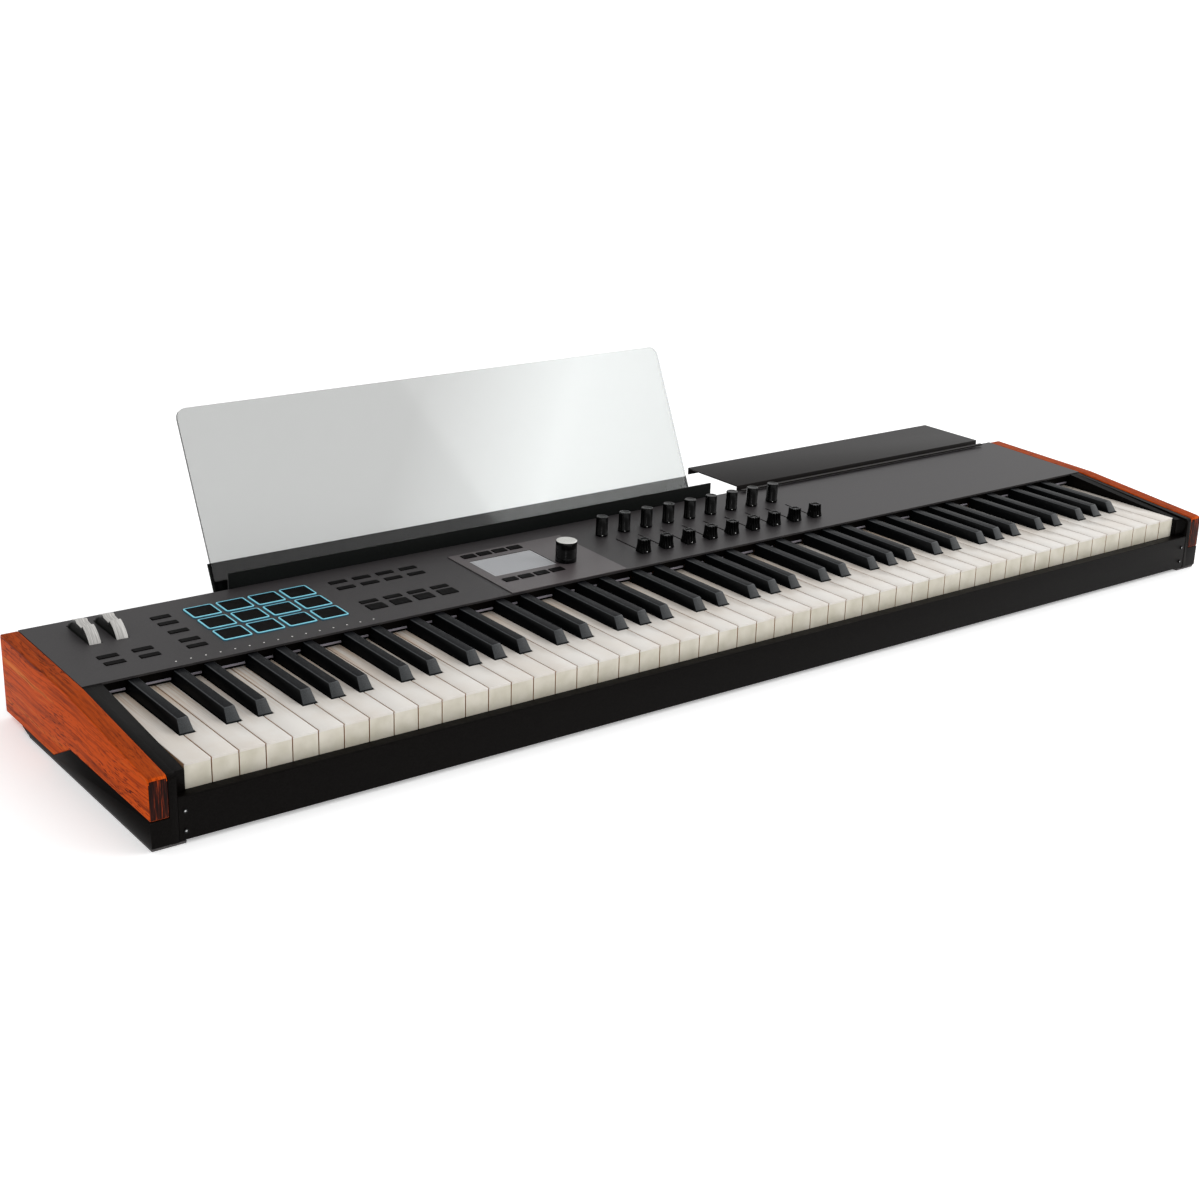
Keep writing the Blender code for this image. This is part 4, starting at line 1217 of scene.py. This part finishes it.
def lamp(name, centre, size, power):
    """A rectangular light that looks at the instrument."""
    data = bpy.data.lights.new(name, "AREA")
    data.shape = "RECTANGLE"
    data.size, data.size_y = size
    data.energy = power
    obj = bpy.data.objects.new(name, data)
    bpy.context.collection.objects.link(obj)
    obj.location = centre
    obj.rotation_euler = (Vector((0, 0, 0.1)) - Vector(centre)).to_track_quat("-Z", "Y").to_euler()
    return obj


class SYNTH_OT_stage(bpy.types.Operator):
    """Sets up the floor, the light and the camera"""
    bl_idname = "synth.stage"
    bl_label = "Stage"

    def execute(self, context):
        look = context.scene.studio_look
        bpy.ops.object.select_all(action="DESELECT")
        bpy.ops.mesh.primitive_plane_add(size=60)
        floor = context.object
        floor.name = "floor"
        material, tree, shader, where = surface(
            "matt_paper_floor", Base_Color=linear(look.floor), Roughness=0.9, Specular_IOR_Level=0.1,
            Emission_Color=(1, 1, 1, 1), Emission_Strength=0.32)
        dressed(floor, material)
        world = bpy.data.worlds.new("room")
        world.use_nodes = True
        tree = world.node_tree
        room = tree.nodes["Background"]
        room.inputs["Strength"].default_value = look.sky
        # Light falls from above, and the walls of the room are dimmer.
        way = add(tree, "ShaderNodeTexCoord").outputs["Generated"]
        part = add(tree, "ShaderNodeSeparateXYZ", i0=way)
        fade = ramp(tree, part.outputs["Z"], [(0.0, grey(0.36)), (0.25, grey(0.50)), (1.0, grey(1.0))])
        # The right-hand wall is the brighter one.
        across = ramp(tree, part.outputs["X"], [(0.30, grey(0.62)), (0.85, grey(1.55))])
        tree.links.new(room.inputs["Color"], mix(tree, 1.0, fade, across, "MULTIPLY"))
        context.scene.world = world
        # The soft box gives no reflection of its own; the strip does, as a thin line on round parts.
        lamp("soft_box", (2.4, -2.0, 1.6), (1.6, 1.6), look.soft_box).visible_glossy = False
        lamp("strip_light", (-1.9, -2.3, 1.3), (0.08, 1.6), look.strip_light)
        data = bpy.data.cameras.new("camera")
        data.sensor_width = 36
        data.sensor_fit = "HORIZONTAL"
        data.lens = look.lens
        data.clip_end = 200
        camera = bpy.data.objects.new("camera", data)
        context.collection.objects.link(camera)
        azimuth, elevation, roll = radians(-37.2526), radians(19.7488), radians(1.7137)
        back = Vector((sin(azimuth) * cos(elevation), -cos(azimuth) * cos(elevation), sin(elevation)))
        right = (-back).cross(Vector((0, 0, 1))).normalized()
        up = right.cross(-back)
        across = right * cos(roll) + up * sin(roll)
        above = up * cos(roll) - right * sin(roll)
        camera.matrix_world = Matrix.Translation((-1.1421, KEY_FRONT - 1.2217, 0.6710)) @ Matrix(
            (across, above, back)).transposed().to_4x4()
        context.scene.camera = camera
        context.scene.view_settings.view_transform = "Standard"
        return {"FINISHED"}


class SYNTH_PT_sidebar(bpy.types.Panel):
    """Lists the steps in the order they are run"""
    bl_idname = "SYNTH_PT_sidebar"
    bl_label = "Synthesizer"
    bl_space_type = "VIEW_3D"
    bl_region_type = "UI"
    bl_category = "Synthesizer"

    def draw(self, context):
        for group in ("body_look", "key_look", "studio_look"):
            look = getattr(context.scene, group)
            for name in look.__annotations__:
                self.layout.prop(look, name)
        for step in STEPS:
            self.layout.operator(step.bl_idname)


LOOKS = {"body_look": BodyLook, "key_look": KeyLook, "studio_look": StudioLook}
STEPS = (
    SYNTH_OT_stage, SYNTH_OT_finishes, SYNTH_OT_wooden_ends, SYNTH_OT_case_edges, SYNTH_OT_white_keys,
    SYNTH_OT_black_keys, SYNTH_OT_key_felt, SYNTH_OT_buttons, SYNTH_OT_pads, SYNTH_OT_print, SYNTH_OT_knobs,
    SYNTH_OT_encoder, SYNTH_OT_faders, SYNTH_OT_wheels, SYNTH_OT_display, SYNTH_OT_screws, SYNTH_OT_music_rest,
)


def register():
    for name, group in LOOKS.items():
        bpy.utils.register_class(group)
        setattr(bpy.types.Scene, name, bpy.props.PointerProperty(type=group))
    for step in STEPS:
        bpy.utils.register_class(step)
    bpy.utils.register_class(SYNTH_PT_sidebar)


def unregister():
    bpy.utils.unregister_class(SYNTH_PT_sidebar)
    for step in reversed(STEPS):
        bpy.utils.unregister_class(step)
    for name, group in LOOKS.items():
        delattr(bpy.types.Scene, name)
        bpy.utils.unregister_class(group)


def main():
    register()
    for step in STEPS:
        group, name = step.bl_idname.split(".")
        getattr(getattr(bpy.ops, group), name)()


if __name__ == "__main__":
    main()
